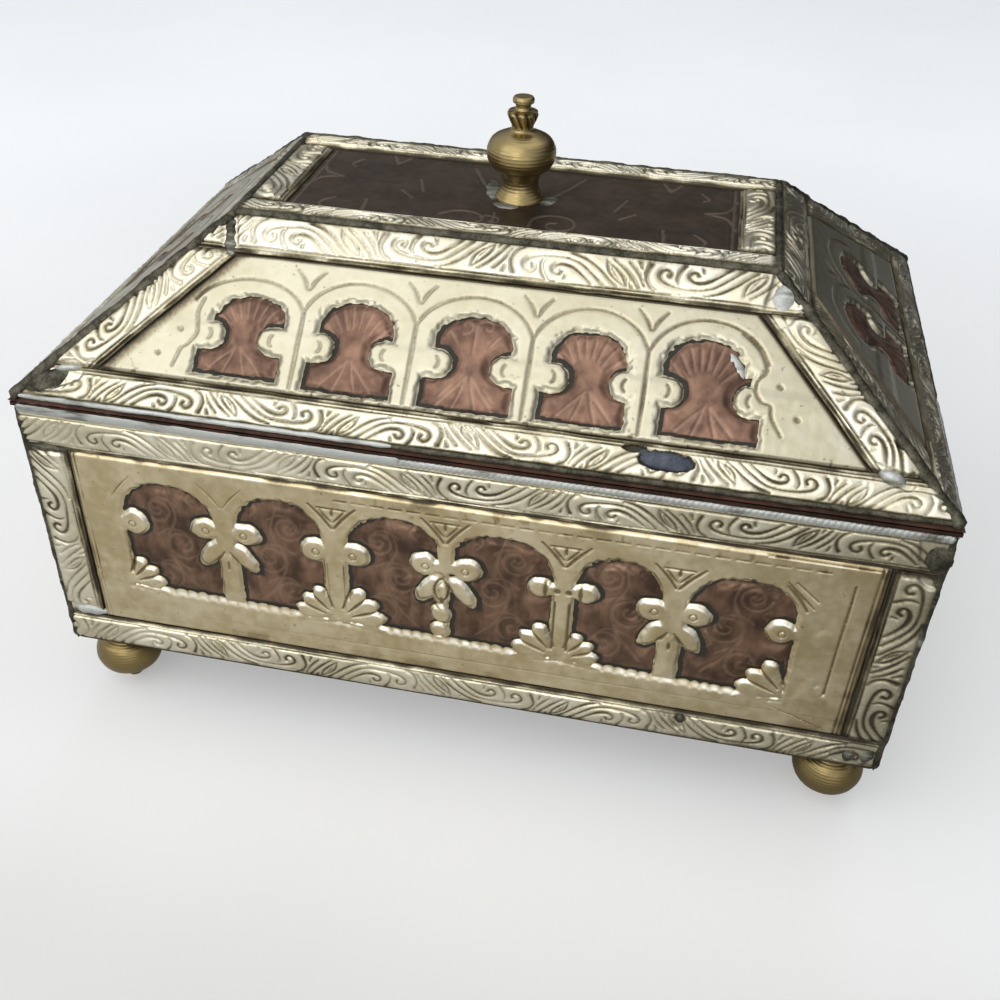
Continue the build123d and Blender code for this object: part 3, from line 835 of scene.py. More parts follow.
def hip_strip(face, side, phase):
    """The half of a hip strip that lies on one face: up its right edge or down its left one."""
    reach = face.half_foot - face.half_head
    run = np.hypot(reach, face.height)
    climb = face.height / run
    low_end, high_end = rim_band / climb, (face.height - ridge_band) / climb
    if side == "right":
        start, heading = (face.half_foot, 0), (-reach, face.height)
        ends = (low_end + mitre_gap, face.lean, high_end - mitre_gap, face.lean)
    else:
        start, heading = (-face.half_head, face.height), (-reach, -face.height)
        ends = (run - high_end + mitre_gap, -face.lean, run - low_end - mitre_gap, -face.lean)
    return pressed_strip(face, start, heading, ends, edge_gap, hip_band, phase, grid_step(face.name))


for name, after in neighbours:
    face, step = slopes[name], grid_step(name)
    half, top_half, high, lean = face.half_foot, face.half_head, face.height, face.lean
    ends = (edge_gap, lean, 2 * half - edge_gap, -lean)
    rim = pressed_strip(face, (-half, 0), (1, 0), ends, 0, rim_band, next(phases), step)
    add_strip(f"lid_rim_strip_{name}", [rim], f"lid_{name}_rim_band")
    start, ends = (top_half, high), (edge_gap, -lean, 2 * top_half - edge_gap, lean)
    ridge = pressed_strip(face, start, (-1, 0), ends, edge_gap, ridge_band, next(phases), step, 0.9)
    add_strip(f"lid_ridge_strip_{name}", [ridge], f"lid_{name}_ridge_band")
    phase = next(phases)
    halves = [hip_strip(face, "right", phase), hip_strip(slopes[after], "left", phase + half_wave)]
    add_strip(f"lid_hip_strip_{name}_{after}", halves, f"lid_{name}_{after}_hip_band")
print("strips of the body and the slopes:", len(pieces_made))

# %% The strips of the flat top
top_band_front = 6.8
top_band_end = 8.5
long_side, short_side = 2 * top_half_length, 2 * top_half_width
for name, start, heading, length, band in (
    ("front", (-top_half_length, -top_half_width), (1, 0), long_side, top_band_front),
    ("back", (top_half_length, top_half_width), (-1, 0), long_side, top_band_front),
    ("right", (top_half_length, -top_half_width), (0, 1), short_side, top_band_end),
    ("left", (-top_half_length, top_half_width), (0, -1), short_side, top_band_end),
):
    butt = edge_gap if band == top_band_front else top_band_front + joint_gap
    ends = (butt, 0, length - butt, 0)
    strip = pressed_strip(top_face, start, heading, ends, edge_gap, band, next(phases), fine_step, 0.9)
    add_strip(f"lid_top_strip_{name}", [strip], f"lid_top_{name}_band")
print("strips:", len(pieces_made), "pieces,", sum(pieces_made.values()), "faces")

# %% [markdown]
# Solder fills every edge where two strips meet. A bevelled curve would make an even cord of it, and
# real solder is never even, so a bead is a tube whose rings swell and shrink with noise: radius =
# r·(1 + uneven·noise). Its middle runs along the corner of the copper, so half of it is buried, as
# real solder is. A lump is the same tube with rings that close like a ball, and its inner half is
# shallow, or it would come through the copper.

# %% Beads of solder
outer_low = np.array([-half_length, -half_width, 0.0])
outer_high = np.array([half_length, half_width, 1000.0])
bead_columns = 14
rope_turns = 5.5
lump_under = 0.15
corner_under = 0.45


def bead(start, end, radii, outwards, brushed, uneven, twist=0.0, step=0.5, ends=0.6, under=1.0):
    """Lumpy bead from start to end, as wide and high as the two radii say, its height outwards.
    Under is how deep its inner half is, as a share of its height. It is held inside the outline of
    the chest, and keeps how far it was brushed bright."""
    run = np.linalg.norm(end - start)
    heading = (end - start) / run
    lifted = outwards - heading * np.dot(outwards, heading)
    lifted = lifted / np.linalg.norm(lifted)
    sideways = np.cross(lifted, heading)
    s = np.linspace(0, run, int(run / step) + 2)[:, None]
    turn = -np.linspace(0, 2 * np.pi, bead_columns, endpoint=False)[None, :]
    middle = start + s[..., None] * heading
    closing = np.sqrt(np.clip(np.minimum(s, run - s) / ends, 0, 1) * 0.96 + 0.04)
    spot = np.moveaxis(middle + sideways * np.cos(turn)[..., None] + lifted * np.sin(turn)[..., None], -1, 0)
    lump = noise(*spot, 2.6) + 0.5 * noise(*spot, 0.9)
    size = closing * (1 + uneven * lump + twist * np.sin(rope_turns * s + 2 * turn))
    wide = (radii[0] * size * np.cos(turn))[..., None] * sideways
    upright = np.where(np.sin(turn) > 0, 1.0, under) * np.sin(turn)
    tall = (radii[1] * size * upright)[..., None] * lifted
    rings = np.clip(middle + wide + tall, outer_low, outer_high)
    patches = noise(*np.moveaxis(rings, -1, 0), 5.0)
    return tube(rings, {"brushed": np.clip(brushed + 0.25 * patches, 0, 1)})


def smear(face, start, end, half, height, brushed, uneven=0.16, foot=-0.2):
    """Flat lump of solder on a face between two places, with rounded ends."""
    low, high = face.place(*start, foot), face.place(*end, foot)
    ends = max(half, 0.3 * np.linalg.norm(high - low))
    return bead(
        low, high, (half, height - foot), face.out, brushed, uneven, 0.0, 0.4, ends, lump_under
    )


def copper_edge(face, other, u, v):
    """Place on the edge where the copper of two faces meets, under a place on the first face."""
    diagonal = face.out + other.out
    drop = crown / (1 + face.out @ other.out)
    return face.place(u, v, crown) - diagonal * drop


# %% Solder along the edges
seam_starts = {"front": -13.0, "right": 12.0, "back": 35.0, "left": -20.0}
seam_drop = 1.55
seam_inset = 0.9
seam_lift = 0.72
base_beads, lid_beads = [], []
for name, after in neighbours:
    face, beside = walls[name], walls[after]
    edge = face.half_foot - crown
    low, high = face.place(edge, 0.4, 0), face.place(edge, face.height - 1.0, 0)
    way = face.out + beside.out
    base_beads.append(bead(low, high, (0.8, 1.25), way, 0.2, 0.2, under=corner_under))
    line, smooth_end = face.height - seam_drop, seam_starts[name]
    low = face.place(-face.half_foot + seam_inset, line + 0.3, seam_lift)
    high = face.place(smooth_end + 2, line, seam_lift)
    base_beads.append(bead(low, high, (1.35, 0.66), face.out, 0.75, 0.08))
    low = face.place(smooth_end, line - 0.15, seam_lift)
    high = face.place(face.half_foot - seam_inset, line - 0.3, seam_lift)
    base_beads.append(bead(low, high, (0.95, 0.6), face.out, 0.8, 0.1, 0.13, 0.3))

    face, beside = slopes[name], slopes[after]
    low = copper_edge(face, beside, face.half_foot, 0)
    high = copper_edge(face, beside, face.half_head, face.height)
    way = face.out + beside.out
    lid_beads.append(bead(low, high, (1.25, 1.3), way, 0.1, 0.2, under=corner_under))
    low = copper_edge(face, top_face, -face.half_head, face.height)
    high = copper_edge(face, top_face, face.half_head, face.height)
    way = face.out + top_face.out
    lid_beads.append(bead(low, high, (1.0, 1.15), way, 0.15, 0.18, under=corner_under))
    left, right = -face.half_foot + 1.0, face.half_foot - 1.0
    for start, end, brushed in ((left, -12.0, 0.7), (-14.0, right, 0.1)):
        low, high = face.place(start, 0.1, 0.35), face.place(end, 0.1, 0.35)
        lid_beads.append(bead(low, high, (0.56, 0.5), face.out, brushed, 0.18, ends=3.0))
print("beads:", len(base_beads), "on the body,", len(lid_beads), "on the lid")

# %% Lumps and smears of solder
front_wall, front_slope = walls["front"], slopes["front"]
base_beads += [smear(front_wall, *lump) for lump in wall_lumps]
lid_beads += [smear(front_slope, *lump) for lump in slope_lumps]
lid_beads += [
    smear(front_slope, (45.6, 26.6), (49.2, 21.4), 1.3, 0.75, 0.75, 0.25),
    smear(front_slope, (50.5, 13.2), (48.5, 10.6), 2.0, 0.7, 0.9),
]
top_smears = [((-7.0, 9.0), (-4.6, -4.0)), ((-5.0, -4.6), (1.5, -5.6)), ((5.2, -3.4), (7.6, 2.4))]
lid_beads += [smear(top_face, start, end, 1.9, 0.5, 0.5, 0.3, -0.1) for start, end in top_smears]
tear_lump = smear(front_slope, (31.4, 5.0), (43.0, 4.2), 2.3, 0.72, 0.0, 0.05)
add_piece("lid_solder_beads", lid_beads, solder, "lid")
add_piece("lid_tear_solder", [tear_lump], tear_solder, "lid")
add_piece("base_corner_solder", base_beads, solder, "base")
print("solder beads:", pieces_made["lid_solder_beads"], pieces_made["base_corner_solder"], "faces")

# %% [markdown]
# The pierced sheets were cut with a fine saw. Each is drawn as one number for every point of a
# grid: how far the point lies inside the metal, below 0 in an opening. Shapes join by taking the
# larger number and are cut by taking the smaller. Marching squares then finds the edge: where two
# neighbours differ in sign, the edge crosses between them, where the number passes 0. Boolean cuts
# could do this too, but they leave long thin faces, and this way the bevel, the dirt and the ragged
# edge all follow from the same number.

# %% Cutting a sheet out of a grid
sheet_sole = 0.2
cell_walk = [(0, 4), (1, 5), (2, 6), (3, 7)]


def cell_outline(case):
    """Corner and crossing numbers round a cell whose inside corners are the bits of the case."""
    outline = []
    for corner, crossing in cell_walk:
        here, there = case >> corner & 1, case >> (corner + 1) % 4 & 1
        if here:
            outline.append(corner)
        if here != there:
            outline.append(crossing)
    return outline


print("outline of a cell with one corner inside:", cell_outline(1))


# %% The upper surface of a sheet
def sawn(points, inside):
    """Upper surface of a sheet, cut out of a grid of points where the number inside is above 0: the
    points that are kept, its squares, its triangles and the pairs of points along its edges."""
    share_u = np.clip(inside[:-1] / (inside[:-1] - inside[1:] + 1e-9), 0.03, 0.97)[..., None]
    share_v = np.clip(inside[:, :-1] / (inside[:, :-1] - inside[:, 1:] + 1e-9), 0.03, 0.97)[..., None]
    across_u = points[:-1] + share_u * (points[1:] - points[:-1])
    across_v = points[:, :-1] + share_v * (points[:, 1:] - points[:, :-1])
    width = points.shape[-1]
    everything = np.vstack([part.reshape(-1, width) for part in (points, across_u, across_v)])
    number = np.arange(inside.size).reshape(inside.shape)
    number_u = inside.size + np.arange(share_u.size).reshape(share_u.shape[:2])
    number_v = inside.size + share_u.size + np.arange(share_v.size).reshape(share_v.shape[:2])
    table = np.stack([
        number[:-1, :-1], number[1:, :-1], number[1:, 1:], number[:-1, 1:],
        number_u[:, :-1], number_v[1:], number_u[:, 1:], number_v[:-1],
    ], axis=-1)
    solid = inside > 0
    case = solid[:-1, :-1] + 2 * solid[1:, :-1] + 4 * solid[1:, 1:] + 8 * solid[:-1, 1:]
    squares, triangles, rims = [], [], []
    for code in range(1, 16):
        outline = cell_outline(code)
        cells = table[case == code][:, outline]
        if len(outline) == 4:
            squares.append(cells)
        else:
            for k in range(1, len(outline) - 1):
                triangles.append(cells[:, [0, k, k + 1]])
        for k, corner in enumerate(outline):
            after = (k + 1) % len(outline)
            if corner > 3 and outline[after] > 3:
                rims.append(cells[:, [k, after]])
    squares, triangles, rims = (np.vstack(group) for group in (squares, triangles, rims))
    used = np.unique(np.concatenate([squares.ravel(), triangles.ravel()]))
    renumber = np.zeros(len(everything), int)
    renumber[used] = np.arange(len(used))
    return everything[used], renumber[squares], renumber[triangles], renumber[rims]


# %% A sheet with walls and a sole
def pierced(face, u, v, inside, height, values):
    """Closed part from grids of drawing places u and v, the number inside, the height and the
    values at each point. Walls go down from its edges to a flat sole. The sole is the triangles
    between all the edges whose middle lies in the metal."""
    kept, squares, triangles, rims = sawn(np.stack([u, v, height, *values.values()], axis=-1), inside)
    edge = np.unique(rims)
    place = np.zeros(len(kept), int)
    place[edge] = np.arange(len(edge))
    under = len(kept) + place
    wall = np.stack([rims[:, 1], rims[:, 0], under[rims[:, 0]], under[rims[:, 1]]], axis=-1)
    low = kept[edge]
    flat = [Vector(pair) for pair in low[:, :2].tolist()]
    closed = delaunay_2d_cdt(flat, place[rims].tolist(), [], 1, 1e-5)
    source = np.array([first[0] for first in closed[3]])
    sole = source[np.array(closed[2])]
    middle = low[sole][:, :, :2].mean(axis=1)
    x = (middle[:, 0] - u[0, 0]) / (u[1, 0] - u[0, 0])
    y = (middle[:, 1] - v[0, 0]) / (v[0, 1] - v[0, 0])
    sole = len(kept) + sole[looked_up(inside, x, y) > 0][:, ::-1]
    low[:, 2] = sheet_sole
    kept = np.vstack([kept, low])
    named = {label: kept[:, 3 + k] for k, label in enumerate(values)}
    return face.place(kept[:, 0], kept[:, 1], kept[:, 2]), [squares, wall, triangles, sole], named


# %% [markdown]
# The openings are built from a few plain shapes, each a number that is 0 on its own edge and grows
# inwards: leaning ovals, upright bars and fans. For an oval it is (1 - |(x/a, y/b)|) times its
# smaller half.


# %% Shapes to cut and join
far_away = 9.0
ray_angle = 24.0


def oval(u, v, middle, level, long, short, lean=0.0):
    """Oval with its long half leaning by an angle in degrees from the level."""
    c, s = np.cos(np.radians(lean)), np.sin(np.radians(lean))
    x = (u - middle) * c + (v - level) * s
    y = (v - level) * c - (u - middle) * s
    return (1 - np.hypot(x / long, y / short)) * min(long, short)


def bar(u, v, middle, half, low, high):
    """Upright bar: the least distance to its four sides."""
    return np.minimum(half - np.abs(u - middle), np.minimum(v - low, high - v))


def blend(first, second):
    """Two shapes joined so that the number keeps growing where they overlap: a + b + |(a, b)|."""
    return first + second + np.hypot(first, second)


def join(*shapes):
    """The larger number of several shapes, with no grid stored twice."""
    whole = shapes[0]
    for shape in shapes[1:]:
        whole = np.maximum(whole, shape)
    return whole


def fan(u, v, middle, foot, reach_left, reach_right):
    """Fan leaf of three rays a side. Round its foot, with r and the angle, a ray ends where
    r = reach·(1 - 0.14·s²), and s goes from -1 to 1 across the ray."""
    x, y = u - middle, v - foot
    r, angle = np.hypot(x, y), np.degrees(np.arctan2(y, np.abs(x)))
    s = (angle / ray_angle) % 1 * 2 - 1
    leaf = np.where(x > 0, reach_right, reach_left) * (1 - 0.14 * s**2) - r
    return np.minimum(leaf, np.radians(np.minimum(3 * ray_angle - angle, angle + 8)) * r)


def dashed(start, end, dash, gap, width):
    """Short strokes in a row from one place to another."""
    start, end = np.array(start, float), np.array(end, float)
    long = np.linalg.norm(end - start)
    way = (end - start) / long
    firsts = np.arange(0, long - dash, dash + gap)
    return [[(*(start + way * a), width), (*(start + way * (a + dash)), width)] for a in firsts]


# %% [markdown]
# On the body a row of round arches stands on a sill. The posts between them carry a pair of round
# lobes. Below these hang two petals, or the post rises out of a fan leaf. No two are quite the
# same, so every post of the front has its own sizes. Metal that is sawn and pressed down at its
# edge gets a broad bevel, and on the sill the bevel is cut into small scallops.

# %% The row of posts
arch_pitch = 22.8
sill_level = 18.3
sill_fall = 0.024
neck_top = 46
Post = namedtuple("Post", "axis kind level spread wide high stalk left right")
front_posts = [
    Post(-72.7, "fan", 37.0, 4.1, 3.0, 3.4, 1.9, 8.6, 8.8),
    Post(-48.8, "petals", 37.9, 4.4, 3.4, 2.8, 2.4, 0, 0),
    Post(-25.6, "fan", 36.9, 4.2, 3.3, 3.1, 2.7, 9.6, 10.6),
    Post(-2.6, "bulbs", 37.4, 4.4, 3.1, 3.0, 0.8, 0, 0),
    Post(21.2, "slim fan", 36.0, 4.4, 2.8, 2.6, 2.3, 10.2, 8.6),
    Post(43.1, "petals", 34.7, 4.1, 3.4, 2.9, 2.5, 0, 0),
    Post(67.9, "fan", 33.9, 4.2, 3.0, 3.1, 1.3, 10.8, 9.0),
]
front_tops = [47.4, 47.8, 47.4, 46.8, 45.6, 45.4]


def even_posts(count):
    """The posts of a wall whose arches are all alike, with kinds taken in turn."""
    kinds = ["fan", "petals"]
    return [
        Post((k - count / 2) * arch_pitch, kinds[k % 2], 36.8, 4.3, 3.2, 2.9, 2.4, 10.0, 10.0)
        for k in range(count + 1)
    ]


# %% The metal of a post and of an arcade
def post_shapes(u, v, post, foot):
    """Metal of one post, and the part of it that swells."""
    axis, level = post.axis, post.level
    lobes = join(*(
        oval(u, v, axis + side * post.spread, level, post.wide, post.high, -8 * side)
        for side in (-1, 1)
    ))
    metal = join(
        lobes,
        bar(u, v, axis, post.spread, level - 1.9, level + 1.7),
        bar(u, v, axis, 1.8, level, neck_top),
    )
    if "fan" in post.kind:
        leaf = fan(u, v, axis, foot - 0.4, post.left, post.right)
        return join(metal, leaf, bar(u, v, axis, post.stalk, foot - 3, level)), join(lobes, leaf)
    petals = join(*(
        oval(u, v, axis + side * 3.4, level - 6.1, 4.5, 2.1, -side * 56) for side in (-1, 1)
    ))
    if post.kind == "bulbs":
        beads = join(
            oval(u, v, axis - 1.0, 24.8, 2.3, 2.7), oval(u, v, axis - 1.3, 20.3, 2.3, 2.2),
            oval(u, v, axis - 0.8, 30.4, 1.9, 3.4),
        )
        return join(metal, petals, beads), join(lobes, petals, beads)
    stalk = bar(u, v, axis, 2.0 + 0.025 * (28 - v), foot - 3, level)
    return join(metal, petals, stalk), join(lobes, petals, bar(u, v, axis, 1.9, foot, level - 5))


def arcade_metal(u, v, posts, tops, fall):
    """Number inside of a whole arcade without its outer edge, and how far its parts swell. The
    head of an opening is a curve |x/a|^2.3 + |y/b|^2.3 = 1, and below it the sides are upright."""
    foot = sill_level - fall * u
    metal = np.full(u.shape, far_away)
    for left, right, top in zip(posts[:-1], posts[1:], tops):
        near, far = left.axis + left.stalk, right.axis - right.stalk
        middle, half = (near + far) / 2, (far - near) / 2
        level = (left.level + right.level) / 2 + 0.6
        x, y = np.abs(u - middle) / half, np.maximum(v - level, 0) / (top - level)
        head = (1 - (x**2.3 + y**2.3) ** (1 / 2.3)) * half
        metal = np.minimum(metal, -np.minimum(head, v - foot))
    swelling = np.full(u.shape, -far_away)
    for post in posts:
        shape, dome = post_shapes(u, v, post, sill_level - fall * post.axis)
        metal, swelling = np.maximum(metal, shape), np.maximum(swelling, dome)
    ragged = 0.2 * noise(u, v, 11, 1.6) + (0.13 + 0.25 * ramp(v, 41, 45)) * noise(u, v, 3, 0.8)
    return metal + ragged * ramp(metal, 2.0, 0.8), swelling


# %% [markdown]
# The engraving is a list of strokes for each post, in the post's own sizes: the strokes of a V
# over it, the grooves between the rays of its fan, rings on its lobes. A stroke is a few points
# of (u, v, half width), so it can swell in the middle as a graver's cut does.


# %% Rings and cuts
def ring(middle, level, radius, width=0.1, squeeze=1.0):
    """Closed round stroke."""
    angle = np.radians(np.linspace(0, 360, 13))
    return [(middle + squeeze * radius * np.cos(a), level + radius * np.sin(a), width) for a in angle]


def cut(start, end, width):
    """Stroke that swells to its full width in the middle."""
    (a, b), (c, d) = start, end
    return [(a, b, 0.04), ((a + c) / 2, (b + d) / 2, width), (c, d, 0.04)]


# %% Engraving of a post
def post_lines(post, foot, bold, sides):
    """Strokes of one post on its free sides. Bold ones also have the hatched triangle over it."""
    axis, level = post.axis, post.level
    width = 0.24 if bold else 0.02
    lines = []
    for side in sides:
        high = (axis + side * 4.8, level + 11.8, 0.1 if bold else -0.1)
        low = (axis + side * 0.35, level + 6.4, width - 0.08)
        lines.append([high, (axis + side * 2.2, level + 9.0, width), low])
        if post.kind == "slim fan":
            eye, rib, groove = axis + side * 1.15, axis + side * 3.5, axis + side * 1.5
            lines += [ring(eye, level - 0.2, 0.5, 0.06), ring(eye, level - 0.2, 0.1)]
            lines.append(cut((rib, level + 1.8), (rib, level - 1.8), 0.3))
            lines.append([(groove, level - 3.2, 0.16), (groove, foot + 2.5, 0.16)])
        else:
            lines.append(ring(axis + side * post.spread * 0.92, level - 0.1, 0.75, -0.03))
        if post.kind == "fan":
            high, low = (axis + side * 1.7, level - 3.0, -0.02), (axis + side * 1.6, foot + 3.0, -0.06)
            lines.append([high, low])
        if "fan" in post.kind:
            reach = (post.right if side > 0 else post.left) - 1.1
            for k in (1, 2, 3):
                a = np.radians(k * ray_angle)
                c, s = side * np.cos(a), np.sin(a)
                near, far = (axis + 3.2 * c, foot + 3.2 * s), (axis + reach * c, foot + reach * s)
                lines.append(cut(near, far, 0.26 if k < 3 else 0.16))
        if post.kind == "petals":
            near, far = (axis + side * 0.6, level - 5.2), (axis + side * 2.6, level - 8.2)
            lines.append(cut(near, far, 0.26 if bold else 0.14))
    if post.kind == "petals":
        lines.append(cut((axis, level - 7.6), (axis, level - 9.6), 0.3 if bold else 0.16))
    if post.kind == "bulbs":
        lines += [
            ring(axis - 0.8, level - 6.0, 2.6, 0.14, 0.55),
            cut((axis - 0.8, 29.6), (axis - 0.7, 27.6), 0.35),
            cut((axis - 2.6, 22.6), (axis + 0.8, 22.6), 0.2),
            cut((axis - 2.8, 27.4), (axis - 1.4, 26.4), 0.14),
        ]
    if bold and len(sides) == 2:
        top = level + 11.2
        lines.append([(axis - 3.0, top, 0.1), (axis + 2.8, top, 0.1)])
        for side in (-1, 1):
            lines.append(cut((axis + side * 2.4, top - 0.6), (axis + side * 0.3, top - 3.2), 0.14))
        lines.append(cut((axis, top - 0.4), (axis, top - 1.8), 0.2))
    return lines


# %% Engraving along the edges
def border_lines(half, low, high):
    """Strokes along the edges of a sheet: broken ones at the top and sides, a fine one below."""
    lines = dashed((-25, high - 2.7), (half - 10, high - 2.7), 2.6, 1.1, -0.02)
    lines.append([(-half + 1.5, low + 4.6, -0.14), (half - 2, low + 4.4, -0.1)])
    lines.append([(-half + 1.5, low + 2.0, -0.18), (half - 30, low + 2.1, -0.18)])
    lines += dashed((half - 5.4, high - 5.2), (half - 5.8, low + 9), 1.9, 0.5, 0.12)
    for inset in (0.7, 1.5):
        lines.append([(half - inset, high - 0.6, 0.08), (half - inset - 0.3, low + 0.4, 0.08)])
        lines.append([(-half + inset, high - 0.6, -0.08), (-half + inset + 0.4, low + 0.4, -0.08)])
    lines.append([(-half + 6.4, high - 4.0, -0.16), (-half + 6.8, low + 8, -0.16)])
    lines.append([(half - 22, high - 0.7, 0.0), (half - 1.5, high - 0.8, 0.06)])
    return lines


front_scratches = [
    cut((63.0, 46.7), (68.7, 41.1), 0.14),
    cut((64.6, 46.9), (69.2, 43.0), 0.06),
    [(60.3, 15.6, -0.2), (69.0, 12.6, -0.04), (77.8, 9.3, -0.16)],
]

# %% [markdown]
# Both kinds of sheet have the same surface. The metal goes down in a bevel towards every sawn edge,
# domes swell over it, the graver's marks go into it, and the whole is a little beaten and grainy.

# %% The surface of a sheet
sheet_height = 0.92
bevel_drop = 0.66
bevel_width = 0.95
strip_margin = 0.1
sheet_waves, sheet_grain = 0.07, 0.012
lowest_sheet = sheet_sole + 0.05
front_sheet_step, sheet_step = 0.25, 0.36


def sheet_grid(half, low, high, step):
    """Drawing places u and v on a grid that reaches past the edges of a sheet."""
    u = np.arange(-half - step, half + 2 * step, step)
    return np.meshgrid(u, np.arange(low - step, high + 2 * step, step), indexing="ij")


def beaten(height, u, v):
    """The height with the slow waves of beaten sheet and a fine grain."""
    return height + sheet_waves * noise(u, v, 5, 17.0) + sheet_grain * noise(u, v, 9, 1.1)


# %% One pierced sheet of the body
wall_margin = body_band + strip_margin
scallop_pitch = 2.4
notch_depth, lip_drop, scallop_drop = 0.35, 0.62, 0.26
dome_rise, mark_depth = 0.25, 0.24


def arcade(face, posts, tops, fall):
    """The pierced sheet of a wall: arches between the posts, with its engraving. Along the sill the
    edge is notched, and the metal goes down to it in a lip with scallops: |sin(pi·u/pitch)|^0.6."""
    half = face.half_foot - wall_margin
    low, high = foot_band + strip_margin, face.height - flange - wall_margin
    step = front_sheet_step if face.name == "front" else sheet_step
    u, v = sheet_grid(half, low, high, step)
    plate = bar(u, v, 0, half, low, high)
    metal, swelling = arcade_metal(u, v, posts, tops, fall)
    foot = sill_level - fall * u
    between = ramp(u, posts[0].axis - 1, posts[0].axis + 1)
    between = between * ramp(u, posts[-1].axis, posts[-1].axis - 2)
    notch = np.abs(np.sin(np.pi * (u + 0.7 * noise(u, 0, 0, 6.0)) / scallop_pitch)) ** 0.6
    edge_zone = ramp(v, foot - 3.2, foot - 0.6) * ramp(swelling, 0.0, -0.5) * between
    near_sill = edge_zone * ramp(foot + 1.0 - v, 0, 0.8)
    inside = np.minimum(metal - notch_depth * (1 - notch) * near_sill, plate)
    lines = border_lines(half, low, high)
    if face.name == "front":
        lines += front_scratches
    for place, post in enumerate(posts):
        sides = [side for side, last in ((-1, 0), (1, len(posts) - 1)) if place != last]
        lines += post_lines(post, sill_level - fall * post.axis, place >= 2, sides)
    mark = ramp(groove_distance(u, v, lines, 0.7), 0.3, 0.04)
    bevel = 1 - ramp(inside, 0, bevel_width)
    lip = ramp(v, foot - 2.6, foot) * near_sill
    dome = dome_rise * ramp(swelling, 0.1, 2.0)
    height = sheet_height + dome - bevel_drop * bevel**1.4 - mark_depth * mark
    scallop = scallop_drop * (1 - notch) * ramp(lip, 0, 0.4)
    height = beaten(height - (lip_drop * lip**1.6 + scallop) * (1 - bevel), u, v)
    grime = ramp(noise(u, v, 51, 9.0) + 0.5 * noise(u, v, 52, 2.5), -0.2, 0.9)
    side_dirt = ramp(plate, 1.0, 0.05) * 0.6 + 0.5 * grime * ramp(plate, 6.0, 0.5)
    speck = ramp(noise(u, v, 21, 1.5) + 0.5 * noise(u, v, 22, 4.0), 0.1, 0.9)
    specks = speck * ramp(v, high - 6.5, high - 1.5) * ramp(u, -45, -5)
    recess = 0.7 * mark + np.maximum(side_dirt, 0.5 * specks) + 0.45 * (1 - notch) * ramp(lip, 0, 0.3)
    recess = np.clip(recess + 0.35 * ramp(inside, 0.25, 0.0), 0, 1)
    # Slopes of the sheet that face up are painted near white, a painted highlight kept as a number below 0.
    facing_up_highlight = ramp(-np.gradient(height, step, axis=1), 0.15, 0.6) * ramp(inside, 0.0, 0.2)
    recess = recess - facing_up_highlight * (0.75 + 0.5 * noise(u, v, 41, 4.0)) * (1 - recess)
    return pierced(face, u, v, inside, np.clip(height, lowest_sheet, crown), {"recess": recess})


# %% The pierced sheets of the body
even_top = 47.2
end_room = 10
arcades = {"front": (front_posts, front_tops, sill_fall)}
for name in order:
    face = walls[name]
    if name != "front":
        room = 2 * (face.half_foot - wall_margin) - end_room
        posts = even_posts(int(room / arch_pitch))
        arcades[name] = (posts, [even_top] * (len(posts) - 1), 0.0)
    piece = f"base_pierced_sheet_{name}"
    sheet = arcade(face, *arcades[name])
    add_piece(piece, [sheet], sheet_silver, "base", f"base_{name}_overlay")
    print(piece, pieces_made[piece], "faces,", len(arcades[name][0]), "posts")

# %% [markdown]
# On each slope of the lid a row of keyhole arches: a flat round head, two lobes that nip it to a
# waist, and a wide foot. A soft arch line runs over each and meets a line that parts it from the
# next. The two ends of the front row run down in wavy lines with two punched dots.

# %% The keyhole arches of the lid
keyhole_pitch = 22.4
keyhole_shoulder = 21.2
nip_level = 17.3
nip_radius = 3.0
foot_head = 14.2
Keyhole = namedtuple(
    "Keyhole", "axis left right top waist_left waist_right foot_left foot_right foot arch"
)
front_keyholes = [
    Keyhole(-45.4, -51.6, -38.3, 25.9, -49.4, -42.9, -54.4, -37.8, 9.4, 29.4),
    Keyhole(-24.0, -31.2, -16.7, 27.2, -27.5, -20.7, -32.5, -15.5, 8.7, 31.0),
    Keyhole(-1.0, -8.4, 6.4, 27.2, -4.4, 2.6, -9.9, 7.6, 8.4, 31.0),
    Keyhole(20.9, 13.9, 27.7, 26.9, 17.7, 25.0, 12.6, 28.6, 8.9, 31.4),
    Keyhole(42.2, 34.5, 49.4, 28.2, 38.8, 47.6, 35.0, 52.8, 9.1, 31.8),
]


def even_keyholes(count):
    """A row of keyholes that are all alike."""
    axes = [(k - (count - 1) / 2) * keyhole_pitch for k in range(count)]
    return [
        Keyhole(x, x - 7.2, x + 7.2, 27.0, x - 3.5, x + 3.5, x - 8.4, x + 8.4, 8.8, 31.0) for x in axes
    ]


# %% The metal round the keyholes
def nips(u, v, hole):
    """The two lobes of a keyhole: discs whose outer half is drawn out sideways."""
    shapes = []
    for tip, side in ((hole.waist_left, -1), (hole.waist_right, 1)):
        x = np.minimum(side * (u - tip) - nip_radius, 0)
        shapes.append(nip_radius - np.hypot(x, v - nip_level))
    return join(*shapes)


